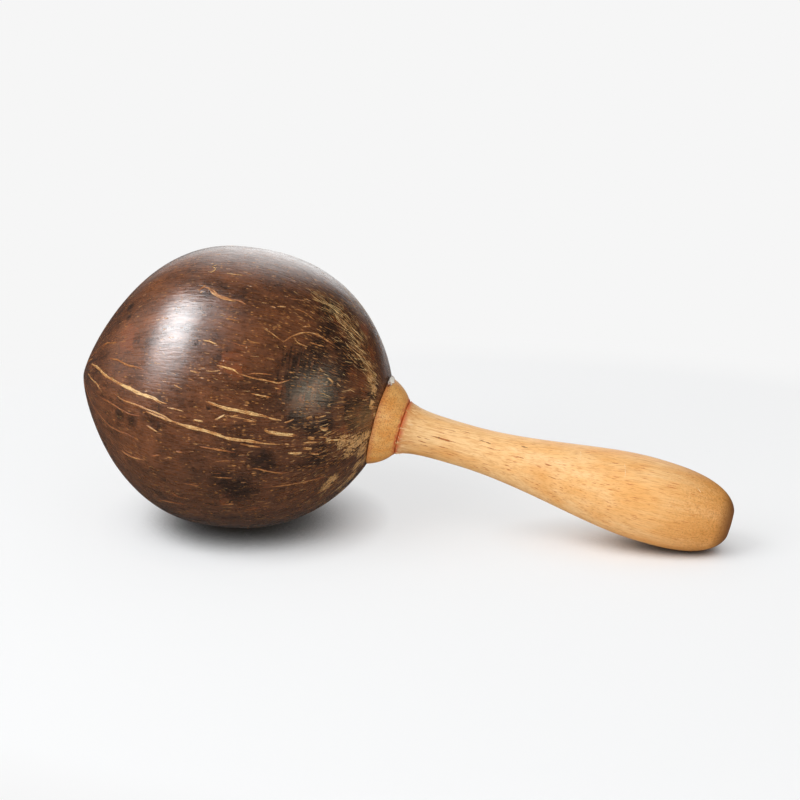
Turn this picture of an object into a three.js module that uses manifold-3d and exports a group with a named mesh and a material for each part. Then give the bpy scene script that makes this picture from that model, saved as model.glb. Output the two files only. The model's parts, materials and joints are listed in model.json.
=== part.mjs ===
// A hand shaker made from one coconut shell on a turned wooden handle. Millimetres, +Z up.
// It lies on its side with the shell's point towards -X and the handle towards +X, resting on
// the shell's belly and on the grip. The origin is on the surface, below the middle of the part.
// Pieces are drawn in the handle's own frame: X runs along the handle, and x = 0 is the joint
// between the handle's shoulder and the collar.

import * as THREE from 'three';
import { mergeVertices } from 'three/addons/utils/BufferGeometryUtils.js';
import Module from 'manifold-3d';

const wasm = await Module();
wasm.setup();

// Coconut shell
const bellyRadius = 50.5;
const noseLength = 56;
const heelLength = 58.9;
const shellWall = 3.8;
const noseDroop = 1.5;
const heelLift = 1.1;
const bellyBelowAxis = 3.9;
const shellSkewDegrees = 10.3;
// Powers of the shell's outline, along it and across it: a pointed nose and a fuller heel
const noseOutlineShares = { along: 2.25, across: 0.86 };
const heelOutlineShares = { along: 2.4, across: 0.6 };
// The three ridges of a coconut, as a share of its radius, one of them on top
const ridgeCount = 3;
const ridgeShare = 0.012;

// Collar
const collarLength = 8.6;
const collarRimRadius = 16.1;
const collarFrontRadius = 10.2;
const collarLip = 0.7;
// Where the round of the collar turns, from the joint to the rim and from the front to the rim
const collarTurnShares = { along: 0.4, out: 0.71 };

// Handle
const tenonRadius = 6.5;
const tenonReach = 11;
const tenonChamfer = 1;
const shoulderRadius = 9.8;
const shoulderChamfer = 0.5;
const neckRadius = 7.6;
const neckAt = 22.5;
const gripRadius = 14.9;
const gripAt = 89.8;
const gripEndLength = 31;
const buttRadius = 5.3;
// How far the handle's curves run level, as shares of the length from one station to the next
const flareShares = { down: 0.2, level: 0.55 };
const swellShares = { neck: 0.365, grip: 0.285 };
const gripEndPowerShare = 2.65;

// Glue
const glueRadius = 1.6;
const glueDepth = 0.5;
const glueHalfArcDegrees = 18;
const glueTurnDegrees = 4;

// Seeds
const seedCount = 24;
const seedLength = 6.4;
const seedRadius = 2.8;
const seedGap = 0.4;
// How much narrower a seed is at one end, and how fast the round pile spreads
const seedTaperShare = 0.07;
const pileSpreadShare = 0.62;
const goldenAngle = Math.PI * (3 - Math.sqrt(5));

// Fits
const seatGap = 0.3;
const weldDistance = 0.0001;
const cutOverrun = 5;

// Facets
const shellSides = 42;
const shellRings = 26;
const cavitySides = 36;
const cavityRings = 20;
const turnedSides = 36;
const curveSteps = 9;
const glueSides = 8;
const glueRings = 10;
const seedSides = 8;
const seedRings = 6;

const radians = THREE.MathUtils.degToRad;

// The last value from low to high, by halving, at which a condition that low meets still holds
function lastWhere(low, high, holds) {
  const halvings = 40;
  let kept = low;
  let passed = high;
  for (let i = 0; i < halvings; i += 1) {
    const middle = (kept + passed) / 2;
    if (holds(middle)) kept = middle;
    else passed = middle;
  }
  return kept;
}

// Solids and meshes

function solidOf(geometry) {
  const bare = geometry.clone();
  bare.deleteAttribute('normal');
  bare.deleteAttribute('uv');
  const welded = mergeVertices(bare, weldDistance);
  const corners = welded.index.array;
  const triangles = [];
  for (let i = 0; i < corners.length; i += 3) {
    const [a, b, c] = corners.slice(i, i + 3);
    if (a !== b && b !== c && c !== a) triangles.push(a, b, c);
  }
  return new wasm.Manifold(new wasm.Mesh({
    numProp: 3,
    vertProperties: new Float32Array(welded.attributes.position.array),
    triVerts: new Uint32Array(triangles),
  }));
}

function meshOf(name, solid, material) {
  const { vertProperties, triVerts } = solid.getMesh();
  const geometry = new THREE.BufferGeometry();
  geometry.setAttribute('position', new THREE.BufferAttribute(vertProperties, 3));
  geometry.setIndex(new THREE.BufferAttribute(triVerts, 1));
  geometry.computeVertexNormals();
  return namedMesh(name, geometry, material);
}

function namedMesh(name, geometry, material) {
  const mesh = new THREE.Mesh(geometry, material);
  mesh.name = name;
  return mesh;
}

function finish(color, roughness) {
  return new THREE.MeshStandardMaterial({ color, roughness, metalness: 0 });
}

// A unit ball whose every point is moved to its place on a rounded body
function reshapedBall(sides, rings, place) {
  const ball = new THREE.SphereGeometry(1, sides, rings);
  const points = ball.attributes.position;
  const point = new THREE.Vector3();
  for (let i = 0; i < points.count; i += 1) {
    point.fromBufferAttribute(points, i);
    place(point);
    points.setXYZ(i, point.x, point.y, point.z);
  }
  return ball;
}

// An outline of [along, radius] pairs turned about the X axis
function turned(outline) {
  const profile = outline.map(([along, radius]) => new THREE.Vector2(radius, along));
  return new THREE.LatheGeometry(profile, turnedSides).rotateZ(-Math.PI / 2);
}

function pointsOn(curve, steps) {
  return curve.getPoints(steps).map(({ x, y }) => [x, y]);
}

// Coconut shell

function shellRadiusAt(along, around, inset) {
  const powers = along < 0 ? noseOutlineShares : heelOutlineShares;
  const taper = Math.max(0, 1 - Math.abs(along) ** powers.along) ** powers.across;
  const ridges = 1 + ridgeShare * Math.cos(ridgeCount * (around - Math.PI / 2));
  return (bellyRadius - inset) * taper * ridges;
}

function centreLineAt(along) {
  return (along < 0 ? -noseDroop : heelLift) * along ** 2;
}

function halfLengthAt(x, inset) {
  return (x < 0 ? noseLength : heelLength) - inset;
}

// The room between a point and the surface inset under the shell's own, both in the shell's frame
function roomAt({ x, y, z }, inset) {
  const along = THREE.MathUtils.clamp(x / halfLengthAt(x, inset), -1, 1);
  const height = z - centreLineAt(along);
  return shellRadiusAt(along, Math.atan2(height, y), inset) - Math.hypot(y, height);
}

// The shell's own frame, with its belly at the origin, set so that the heel meets the collar's rim
function seatedShellFrame() {
  const skew = new THREE.Matrix4().makeRotationY(-radians(shellSkewDegrees));
  const unskew = skew.clone().invert();
  const bellyBehindRim = lastWhere(0, heelLength, (reach) => {
    const point = new THREE.Vector3(reach, collarRimRadius, bellyBelowAxis);
    return roomAt(point.applyMatrix4(unskew), 0) > 0;
  });
  return skew.setPosition(-collarLength - bellyBehindRim, 0, -bellyBelowAxis);
}

const shellFrame = seatedShellFrame();

// How far forward the shell's surface reaches at a place beside the handle's axis
function shellReachAt(y, z) {
  const intoShell = shellFrame.clone().invert();
  const belly = new THREE.Vector3().setFromMatrixPosition(shellFrame);
  return lastWhere(belly.x, 0, (x) => (
    roomAt(new THREE.Vector3(x, y, z).applyMatrix4(intoShell), 0) > 0
  ));
}

// The shell's outer surface, or the one that lies inset under it
function shellSolid(inset, sides, rings) {
  const geometry = reshapedBall(sides, rings, (point) => {
    const along = point.y;
    const around = Math.atan2(point.x, point.z);
    const radius = shellRadiusAt(along, around, inset);
    point.set(
      along * halfLengthAt(along, inset),
      radius * Math.cos(around),
      radius * Math.sin(around) + centreLineAt(along),
    );
    point.applyMatrix4(shellFrame);
  });
  return solidOf(geometry);
}

function boreSolid() {
  const depth = collarLength + shellWall + tenonReach + cutOverrun;
  const radius = tenonRadius + seatGap;
  return solidOf(turned([[-depth, 0], [-depth, radius], [0, radius], [0, 0]]));
}

function coconutShell() {
  const outside = shellSolid(0, shellSides, shellRings);
  const cavity = shellSolid(shellWall, cavitySides, cavityRings);
  return outside.subtract(cavity).subtract(boreSolid());
}

// Collar, a half-round ring whose back is coved to sit on the shell

function collarOutline(clearance) {
  const front = -seatGap + clearance;
  const rise = collarRimRadius - collarFrontRadius;
  const round = new THREE.QuadraticBezierCurve(
    new THREE.Vector2(front, collarFrontRadius + clearance),
    new THREE.Vector2(
      -collarLength * collarTurnShares.along,
      collarFrontRadius + rise * collarTurnShares.out + clearance,
    ),
    new THREE.Vector2(-collarLength, collarRimRadius + clearance),
  );
  const back = -collarLength - cutOverrun;
  const boreRadius = tenonRadius + seatGap - clearance;
  return [
    [back, collarRimRadius + clearance],
    [back, boreRadius],
    [front, boreRadius],
    [front, collarFrontRadius - collarLip + clearance],
    ...pointsOn(round, curveSteps),
    [back, collarRimRadius + clearance],
  ].reverse();
}

function collar() {
  const seat = shellSolid(-seatGap, shellSides, shellRings);
  return solidOf(turned(collarOutline(0))).subtract(seat);
}

// Handle, turned in one piece from its tenon to the flat where it was parted off

function handleOutline() {
  const tenonEnd = -(collarLength + shellWall + tenonReach);
  const flare = new THREE.CubicBezierCurve(
    new THREE.Vector2(shoulderChamfer, shoulderRadius),
    new THREE.Vector2(neckAt * flareShares.down, neckRadius),
    new THREE.Vector2(neckAt * flareShares.level, neckRadius),
    new THREE.Vector2(neckAt, neckRadius),
  );
  const run = gripAt - neckAt;
  const swell = new THREE.CubicBezierCurve(
    new THREE.Vector2(neckAt, neckRadius),
    new THREE.Vector2(neckAt + run * swellShares.neck, neckRadius),
    new THREE.Vector2(gripAt - run * swellShares.grip, gripRadius),
    new THREE.Vector2(gripAt, gripRadius),
  );
  return [
    [tenonEnd, 0],
    [tenonEnd, tenonRadius - tenonChamfer],
    [tenonEnd + tenonChamfer, tenonRadius],
    [0, tenonRadius],
    [0, shoulderRadius - shoulderChamfer],
    ...pointsOn(flare, curveSteps),
    ...pointsOn(swell, curveSteps).slice(1),
    ...gripEnd(),
  ];
}

// The grip's domed end, a quarter of a full oval that the flat butt cuts short
function gripEnd() {
  const outline = [];
  const flat = Math.acos((buttRadius / gripRadius) ** (gripEndPowerShare / 2));
  for (let step = 1; step <= curveSteps; step += 1) {
    const turn = Math.PI / 2 - flat * (step / curveSteps);
    outline.push([
      gripAt + gripEndLength * Math.cos(turn) ** (2 / gripEndPowerShare),
      gripRadius * Math.sin(turn) ** (2 / gripEndPowerShare),
    ]);
  }
  outline.push([outline.at(-1)[0], 0]);
  return outline;
}

function handle() {
  return solidOf(turned(handleOutline()));
}

// Glue, a short bead on the collar's rim, where the shell's surface crosses it

function glueBead() {
  const ring = collarRimRadius - glueDepth;
  const bead = reshapedBall(glueSides, glueRings, (point) => {
    const turn = radians(glueTurnDegrees + glueHalfArcDegrees * point.y);
    const seam = shellReachAt(-ring * Math.sin(turn), ring * Math.cos(turn));
    const radius = ring + glueRadius * point.x;
    point.set(
      seam + glueRadius * point.z,
      -radius * Math.sin(turn),
      radius * Math.cos(turn),
    );
  });
  const shell = shellSolid(-seatGap, shellSides, shellRings);
  return solidOf(bead).subtract(shell).subtract(solidOf(turned(collarOutline(seatGap))));
}

// How the part lies: tipped about Y until the shell and the grip both touch the surface

function lowestPoint(solid, tip) {
  const points = solid.getMesh().vertProperties;
  let lowest = Infinity;
  for (let i = 0; i < points.length; i += 3) {
    lowest = Math.min(lowest, points[i + 2] * Math.cos(tip) - points[i] * Math.sin(tip));
  }
  return lowest;
}

function tipAngle(shellPiece, handlePiece) {
  return lastWhere(0, Math.PI / 4, (angle) => (
    lowestPoint(handlePiece, angle) > lowestPoint(shellPiece, angle)
  ));
}

// Seeds, in a round pile over the lowest part of the cavity

function seedGeometry() {
  return reshapedBall(seedSides, seedRings, (point) => {
    const radius = seedRadius * (1 - seedTaperShare * point.y);
    point.set(radius * point.x, seedLength / 2 * point.y, radius * point.z);
  });
}

// The height where a seed's middle meets the cavity's wall, below or above the belly's middle
function seedHeight(x, y, belly, direction, shellPlace) {
  const sag = bellyRadius * (1 - Math.cos(Math.PI / cavitySides));
  const inset = shellWall + seedRadius * (1 + seedTaperShare) + seatGap + sag;
  const intoShell = shellPlace.clone().invert();
  return belly.z + direction * lastWhere(0, bellyRadius, (reach) => {
    const point = new THREE.Vector3(x, y, belly.z + direction * reach);
    return roomAt(point.applyMatrix4(intoShell), inset) > 0;
  });
}

function seedPlaces(shellPlace) {
  const belly = new THREE.Vector3().setFromMatrixPosition(shellPlace);
  const pitch = seedLength + seedGap;
  const places = [];
  for (let i = 0; i < seedCount; i += 1) {
    const out = pitch * pileSpreadShare * Math.sqrt(i + 1 / 2);
    const x = belly.x + out * Math.cos(i * goldenAngle);
    const y = out * Math.sin(i * goldenAngle);
    const rest = seedHeight(x, y, belly, -1, shellPlace);
    const hop = seedHeight(x, y, belly, 1, shellPlace) - rest;
    places.push({ x, y, rest, hop });
  }
  return places;
}

// The whole part

const varnishedShell = finish('#4b2c1d', 0.32);
const turnedWood = finish('#dfab6a', 0.55);
const collarWood = finish('#cf9148', 0.5);
const driedGlue = finish('#e8e1d4', 0.6);
const driedSeed = finish('#a67c45', 0.6);

const shellPiece = coconutShell();
const handlePiece = handle();
const tip = tipAngle(shellPiece, handlePiece);

const assembly = new THREE.Group();
assembly.add(meshOf('coconut_shell', shellPiece, varnishedShell));
assembly.add(meshOf('collar', collar(), collarWood));
assembly.add(meshOf('handle', handlePiece, turnedWood));
assembly.add(meshOf('glue_bead', glueBead(), driedGlue));
assembly.rotation.y = tip;
const box = new THREE.Box3().setFromObject(assembly, true);
assembly.position.set(-(box.min.x + box.max.x) / 2, 0, -box.min.z);
assembly.updateMatrix();

const shaker = new THREE.Group();
shaker.add(assembly);
seedPlaces(assembly.matrix.clone().multiply(shellFrame)).forEach(({ x, y, rest, hop }, i) => {
  const name = `seed_${String(i + 1).padStart(2, '0')}`;
  const seed = namedMesh(name, seedGeometry(), driedSeed);
  seed.position.set(x, y, rest);
  seed.rotation.z = i * goldenAngle;
  seed.userData.hop = hop;
  shaker.add(seed);
});

export default shaker;
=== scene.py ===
import json
import math
import random

import bpy
from mathutils import Matrix, Vector, noise
from mathutils.bvhtree import BVHTree


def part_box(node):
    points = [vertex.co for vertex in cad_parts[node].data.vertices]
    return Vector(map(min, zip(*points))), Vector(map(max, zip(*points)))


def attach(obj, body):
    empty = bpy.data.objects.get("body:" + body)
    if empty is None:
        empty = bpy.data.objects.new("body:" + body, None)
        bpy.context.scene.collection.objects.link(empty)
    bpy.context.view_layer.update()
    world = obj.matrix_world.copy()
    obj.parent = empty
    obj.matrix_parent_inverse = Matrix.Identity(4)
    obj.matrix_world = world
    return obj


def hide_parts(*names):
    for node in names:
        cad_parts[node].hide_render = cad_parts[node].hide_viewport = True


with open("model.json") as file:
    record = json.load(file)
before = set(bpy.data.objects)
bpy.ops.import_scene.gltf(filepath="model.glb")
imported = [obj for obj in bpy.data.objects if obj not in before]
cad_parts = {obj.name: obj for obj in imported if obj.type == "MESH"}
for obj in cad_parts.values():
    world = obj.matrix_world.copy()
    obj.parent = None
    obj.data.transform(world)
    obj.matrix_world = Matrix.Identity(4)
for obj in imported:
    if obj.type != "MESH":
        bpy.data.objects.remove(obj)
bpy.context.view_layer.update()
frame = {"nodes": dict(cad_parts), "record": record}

# Camera
# The photograph was taken with a long lens from a little above and a little to the right of
# square on. The angles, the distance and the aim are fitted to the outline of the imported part.

mm = 0.001
image_width = 800
sensor_width = 36
camera_lens = 85
camera_azimuth = math.radians(10.53)
camera_elevation = math.radians(17.5)
camera_distance = 684.5 * mm
camera_aim_right = -0.53 * mm
camera_aim_up = 46.6 * mm

towards_camera = Vector((
    math.sin(camera_azimuth) * math.cos(camera_elevation),
    -math.cos(camera_azimuth) * math.cos(camera_elevation),
    math.sin(camera_elevation),
))
picture_right = Vector((math.cos(camera_azimuth), math.sin(camera_azimuth), 0))
picture_up = towards_camera.cross(picture_right)
camera_place = (
    towards_camera * camera_distance
    + picture_right * camera_aim_right
    + picture_up * camera_aim_up
)


def placed(name, data):
    """A new object in the scene."""
    thing = bpy.data.objects.new(name, data)
    bpy.context.collection.objects.link(thing)
    return thing


def frame_at(place, *axes):
    """The matrix of a frame with its origin at a place and these X, Y and Z axes."""
    return Matrix.Translation(place) @ Matrix(axes).transposed().to_4x4()


camera = placed("camera", bpy.data.cameras.new("camera"))
camera.data.lens = camera_lens
camera.data.sensor_width = sensor_width
camera.matrix_world = frame_at(camera_place, picture_right, picture_up, towards_camera)
bpy.context.scene.camera = camera


def sight_line(pixel):
    """The direction from the camera through a pixel of the photograph."""
    focal = camera_lens / sensor_width * image_width
    right = pixel[0] - image_width / 2
    up = image_width / 2 - pixel[1]
    return (picture_right * right + picture_up * up - towards_camera * focal).normalized()


# Coconut shell
# The hard inner shell of a whole coconut, scraped of its husk, sanded and varnished. Its point
# is to the left and its eye end, bored for the handle's tenon, sits in the collar. The wall is
# about 4 mm thick and hollow, and the three ridges of the nut show as a slightly lobed girth.

shell_sides, shell_rings = 256, 176
cavity_sides, cavity_rings = 72, 48
belly_radius = 50.5 * mm
nose_length = 56 * mm
heel_length = 58.9 * mm
shell_wall = 3.8 * mm
nose_droop = 1.5 * mm
heel_lift = 1.1 * mm
shell_skew = math.radians(10.3)
nose_powers = (2.25, 0.86)
heel_powers = (2.4, 0.6)
ridge_count = 3
ridge_share = 0.012
dent_share = 0.006
dent_size = 24 * mm
ring_turn = 1.35
tenon_radius = 6.5 * mm
tenon_end = -23.4 * mm
seat_gap = 0.3 * mm
weld_distance = 0.0005 * mm
sharp_edge = math.radians(38)

# The handle's axis runs back from the flat butt, which is the record's mount
handle_length = 120.03 * mm
butt = frame["record"]["mounts"][0]
handle_axis = Vector(butt["axis"]).normalized()
handle_place = frame_at(
    Vector(butt["pos_m"]) - handle_axis * handle_length,
    handle_axis, Vector((0, 1, 0)), handle_axis.cross(Vector((0, 1, 0))),
)


def linear(code):
    """An sRGB hex colour as the linear colour that a shader takes."""
    shares = [int(code[i:i + 2], 16) / 255 for i in (1, 3, 5)]
    return tuple(s / 12.92 if s < 0.04045 else ((s + 0.055) / 1.055) ** 2.4 for s in shares) + (1,)


def add(tree, kind, inputs=None, **settings):
    """A new node with its settings, and each input given a value or linked to what feeds it."""
    node = tree.nodes.new(kind)
    for name, value in settings.items():
        setattr(node, name, value)
    for key, values in (inputs or {}).items():
        for value in values if isinstance(values, list) else [values]:
            if isinstance(value, bpy.types.Node):
                value = next(output for output in value.outputs if output.enabled)
            if isinstance(value, bpy.types.NodeSocket):
                tree.links.new(value, node.inputs[key])
            else:
                node.inputs[key].default_value = value
    return node


def new_finish(name, values):
    """A material, its tree and its shader, which has these values and feeds the output."""
    finish = bpy.data.materials.new(name)
    finish.use_nodes = True
    tree = finish.node_tree
    tree.nodes.clear()
    surface = add(tree, "ShaderNodeBsdfPrincipled", values)
    add(tree, "ShaderNodeOutputMaterial", {"Surface": surface})
    return finish, tree, surface


def new_tree(name, **sockets):
    """A geometry tree with named inputs, its input node and its output node."""
    tree = bpy.data.node_groups.new(name, "GeometryNodeTree")
    tree.interface.new_socket("Geometry", in_out="INPUT", socket_type="NodeSocketGeometry")
    tree.interface.new_socket("Geometry", in_out="OUTPUT", socket_type="NodeSocketGeometry")
    for label, kind in sockets.items():
        tree.interface.new_socket(label, in_out="INPUT", socket_type="NodeSocket" + kind)
    return tree, add(tree, "NodeGroupInput"), add(tree, "NodeGroupOutput")


def plain_mesh(holder):
    """What an object's modifiers make of its mesh."""
    evaluated = holder.evaluated_get(bpy.context.evaluated_depsgraph_get())
    return bpy.data.meshes.new_from_object(evaluated)


def grown(name, tree, base, place, **values):
    """What a tree makes of a base mesh, as a plain mesh object with its place in its mesh."""
    holder = placed(name, base)
    modifier = holder.modifiers.new("grow", "NODES")
    modifier.node_group = tree
    for item in tree.interface.items_tree:
        if item.in_out == "INPUT" and item.name in values:
            modifier[item.identifier] = values[item.name]
    mesh = plain_mesh(holder)
    bpy.data.objects.remove(holder)
    mesh.transform(place)
    mesh.name = name
    return placed(name, mesh)


# One tree turns any outline of points (along, radius, sag) about the X axis, with ridges and
# shallow dents where a grown body has them. It makes the shell, the collar, the handle and the
# seeds.
turning, given, made = new_tree(
    "turned_body", Sides="Int", Ridges="Int", RidgeShare="Float", DentShare="Float",
    DentSize="Float", Finish="Material",
)
sides, ridges, ridge_input, dents, dent_input, finish_input = given.outputs[1:7]
points = add(turning, "GeometryNodeAttributeDomainSize", {0: given.outputs[0]})
last = add(turning, "ShaderNodeMath", {0: points, 1: 1.0}, operation="SUBTRACT")
columns = add(turning, "ShaderNodeMath", {0: sides, 1: 1.0}, operation="ADD")
sheet = add(turning, "GeometryNodeMeshGrid", {0: last, 1: math.tau, 2: points, 3: columns})
spot = add(turning, "GeometryNodeInputPosition")
across = add(turning, "ShaderNodeSeparateXYZ", {0: spot})
middle = add(turning, "ShaderNodeMath", {0: last, 1: 2.0}, operation="DIVIDE")
row = add(turning, "ShaderNodeMath", {0: across.outputs[0], 1: middle}, operation="ADD")
row = add(turning, "ShaderNodeMath", {0: row}, operation="ROUND")
outline = add(
    turning, "GeometryNodeSampleIndex", {0: given.outputs[0], 1: spot, 2: row},
    data_type="FLOAT_VECTOR",
)
drawn = add(turning, "ShaderNodeSeparateXYZ", {0: outline})
angle = across.outputs[1]
from_top = add(turning, "ShaderNodeMath", {0: angle, 1: math.pi / 2}, operation="SUBTRACT")
lobe = add(turning, "ShaderNodeMath", {0: from_top, 1: ridges}, operation="MULTIPLY")
lobe = add(turning, "ShaderNodeMath", {0: lobe}, operation="COSINE")
lobe = add(turning, "ShaderNodeMath", {0: lobe, 1: ridge_input, 2: 1.0}, operation="MULTIPLY_ADD")
radius = add(turning, "ShaderNodeMath", {0: drawn.outputs[1], 1: lobe}, operation="MULTIPLY")
level = add(turning, "ShaderNodeMath", {0: angle}, operation="COSINE")
rise = add(turning, "ShaderNodeMath", {0: angle}, operation="SINE")
level = add(turning, "ShaderNodeMath", {0: radius, 1: level}, operation="MULTIPLY")
rise = add(
    turning, "ShaderNodeMath", {0: radius, 1: rise, 2: drawn.outputs[2]}, operation="MULTIPLY_ADD"
)
place = add(turning, "ShaderNodeCombineXYZ", {0: drawn.outputs[0], 1: level, 2: rise})
body = add(turning, "GeometryNodeSetPosition", {0: sheet, "Position": place})
grain = add(turning, "ShaderNodeMath", {0: 1.0, 1: dent_input}, operation="DIVIDE")
cloud = add(turning, "ShaderNodeTexNoise", {"Vector": spot, "Scale": grain, "Detail": 2.0})
depth = add(turning, "ShaderNodeMath", {0: cloud, 1: dents}, operation="MULTIPLY")
depth = add(turning, "ShaderNodeMath", {0: depth, 1: -1.0}, operation="MULTIPLY")
inward = add(turning, "ShaderNodeVectorMath", {0: spot, "Scale": depth}, operation="SCALE")
body = add(turning, "GeometryNodeSetPosition", {0: body, "Offset": inward})
body = add(turning, "GeometryNodeMergeByDistance", {0: body, "Distance": weld_distance})
body = add(turning, "GeometryNodeSetShadeSmooth", {0: body, 2: True})
bend = add(turning, "GeometryNodeInputMeshEdgeAngle")
sharp = add(turning, "ShaderNodeMath", {0: bend, 1: sharp_edge}, operation="GREATER_THAN")
body = add(turning, "GeometryNodeSetShadeSmooth", {0: body, 1: sharp, 2: False}, domain="EDGE")
body = add(turning, "GeometryNodeRealizeInstances", {0: body})
body = add(turning, "GeometryNodeSetMaterial", {0: body, "Material": finish_input})
turning.links.new(body.outputs[0], made.inputs[0])


def turned(name, outline, sides, finish, place, ridges=0, ridge_share=0.0, dent_share=0.0,
           dent_size=1.0):
    """A closed body turned from an outline, with its faces outwards."""
    base = bpy.data.meshes.new(name)
    base.from_pydata([tuple(point) + (0,) * (3 - len(point)) for point in outline], [], [])
    piece = grown(
        name, turning, base, place, Sides=sides, Ridges=ridges, RidgeShare=ridge_share,
        DentShare=dent_share, DentSize=dent_size, Finish=finish,
    )
    if signed_volume(piece.data) < 0:
        piece.data.flip_normals()
    return piece


def signed_volume(mesh):
    """Six times the volume inside a closed mesh, negative where its faces point inwards."""
    mesh.calc_loop_triangles()
    places = [v.co for v in mesh.vertices]
    total = 0
    for triangle in mesh.loop_triangles:
        a, b, c = (places[i] for i in triangle.vertices)
        total += a.dot(b.cross(c))
    return total


def cut_by(piece, *cutters):
    """The piece with each cutter taken out of it. The cutters are used up."""
    for cutter in cutters:
        modifier = piece.modifiers.new("cut", "BOOLEAN")
        modifier.operation = "DIFFERENCE"
        modifier.solver = "EXACT"
        modifier.object = cutter
    mesh = plain_mesh(piece)
    piece.modifiers.clear()
    piece.data = mesh
    for cutter in cutters:
        bpy.data.objects.remove(cutter)
    return piece


def shell_section(along):
    """The shell's length on that side of its belly, its share of the full girth and its sag."""
    pointed = along < 0
    power_along, power_across = nose_powers if pointed else heel_powers
    girth = max(0, 1 - abs(along) ** power_along) ** power_across
    sag = (-nose_droop if pointed else heel_lift) * along ** 2
    return nose_length if pointed else heel_length, girth, sag


def shell_outline(inset, rings):
    """Points (along, radius, sag) of the shell's surface, or of one that lies under it."""
    outline = []
    for step in range(rings + 1):
        along = math.sin((2 * step / rings - 1) * ring_turn) / math.sin(ring_turn)
        length, girth, sag = shell_section(along)
        outline.append((along * (length - inset), (belly_radius - inset) * girth, sag))
    return outline


def shell_body(name, inset, sides, rings, finish, place, dent_share=0.0):
    return turned(
        name, shell_outline(inset, rings), sides, finish, place, ridge_count, ridge_share,
        dent_share, dent_size,
    )


# Varnished coconut shell: a dense dark brown stone-like wood whose fibres run from point to eye.
# It gives the eye mottled red and grey browns, hair-thin streaks and pale pits of husk, under a
# satin varnish whose gloss is combed by the sanding along the fibres.
shell_finish, paint, surface = new_finish(
    "varnished_coconut_shell", {"IOR": 1.6, "Coat Roughness": 0.12, "Coat IOR": 1.6}
)

# The shell's own frame is turned against the handle's, and is set by the lowest corner of the
# packed shell, which is its point on X and its belly on Z
skewed = handle_place.to_quaternion().to_matrix().to_4x4() @ Matrix.Rotation(-shell_skew, 4, "Y")
trial = shell_body("trial", 0, shell_sides, shell_rings, shell_finish, skewed)
trial_low = Vector([min(v.co[i] for v in trial.data.vertices) for i in range(3)])
packed_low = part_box("coconut_shell")[0]
bpy.data.objects.remove(trial)
shell_place = Matrix.Translation((
    packed_low.x - trial_low.x, 0, packed_low.z - trial_low.z
)) @ skewed

shell = shell_body(
    "varnished_shell", 0, shell_sides, shell_rings, shell_finish, shell_place, dent_share
)
cavity = shell_body(
    "cavity", shell_wall, cavity_sides, cavity_rings, shell_finish, shell_place
)
bore_radius = tenon_radius + seat_gap
bore = turned(
    "bore", [(2 * tenon_end, 0), (2 * tenon_end, bore_radius), (0, bore_radius), (0, 0)], 64,
    shell_finish, handle_place,
)
cut_by(shell, cavity, bore)

# Where the photograph shows more than the common brown, each place is a named pixel and a
# radius: pale worn husk by the collar, rust stains, sooty dark patches, and an arc of golden husk
# hairs that runs down to the collar
gold_arc = [
    (322, 300), (332, 306), (341, 315), (348, 325), (354, 338), (360, 352), (367, 366), (374, 380),
    (378, 392), (379, 404),
]
shell_stains = {
    "worn": [
        ((343, 441), 2.4), ((352, 445), 3.4), ((360, 440), 2.6), ((362, 450), 2.6),
        ((347, 455), 1.6), ((367, 436), 2.0), ((333, 479), 2.0), ((325, 487), 1.8),
        ((357, 466), 2.4), ((352, 476), 2.0), ((372, 404), 1.4), ((376, 415), 1.4),
        ((374, 390), 1.6), ((370, 378), 1.4), ((328, 440), 1.2), ((364, 460), 2.0),
    ],
    "rust": [
        ((345, 428), 2.0), ((347, 437), 2.2), ((362, 388), 2.6), ((354, 394), 2.4),
        ((343, 335), 2.4), ((352, 372), 2.2), ((300, 380), 1.3), ((301, 396), 1.6),
        ((279, 389), 1.2), ((228, 496), 1.6), ((222, 501), 1.4), ((254, 509), 1.8),
        ((374, 420), 2.6), ((350, 495), 4.0), ((338, 505), 4.0), ((356, 410), 2.6),
        ((366, 330), 2.4), ((232, 362), 5.0), ((128, 340), 5.0),
        ((352, 396), 3.0), ((364, 372), 2.6), ((338, 320), 3.2), ((372, 352), 2.4),
    ],
    "soot": [
        ((131, 307), 2.0), ((129, 317), 1.6), ((120, 414), 2.8), ((132, 420), 2.6),
        ((311, 430), 4.6), ((325, 424), 4.0), ((331, 308), 4.4), ((340, 345), 4.6),
        ((262, 462), 5.0), ((238, 490), 7.0), ((345, 360), 5.0), ((352, 405), 5.0),
        ((209, 409), 1.0), ((296, 420), 4.0), ((222, 480), 5.0), ((320, 350), 5.0),
        ((330, 400), 4.0), ((318, 455), 5.0), ((330, 330), 5.0), ((335, 375), 6.0),
        ((328, 312), 3.0), ((349, 338), 3.0), ((362, 366), 3.0), ((372, 396), 3.0),
        ((366, 410), 3.0), ((352, 422), 3.4),
    ],
    "gold": [(pixel, 3.2) for pixel in gold_arc],
    "sanded": [((298, 366), 6.0), ((310, 380), 7.0), ((322, 392), 5.0), ((292, 384), 5.0)],
}
shell_middle = shell_place.to_translation()


def surface_of(mesh):
    """A mesh as a surface on which rays and nearest points are found."""
    return BVHTree.FromPolygons([v.co for v in mesh.vertices], [p.vertices for p in mesh.polygons])


shell_surface = surface_of(shell.data)


def shell_spot(pixel):
    """The point of the shell that a pixel shows, or the nearest one where it just misses."""
    direction = sight_line(pixel)
    hit = shell_surface.ray_cast(camera_place, direction)[0]
    if hit is None:
        reach = (shell_middle - camera_place).dot(direction)
        hit = shell_surface.find_nearest(camera_place + direction * reach)[0]
    return hit


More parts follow.
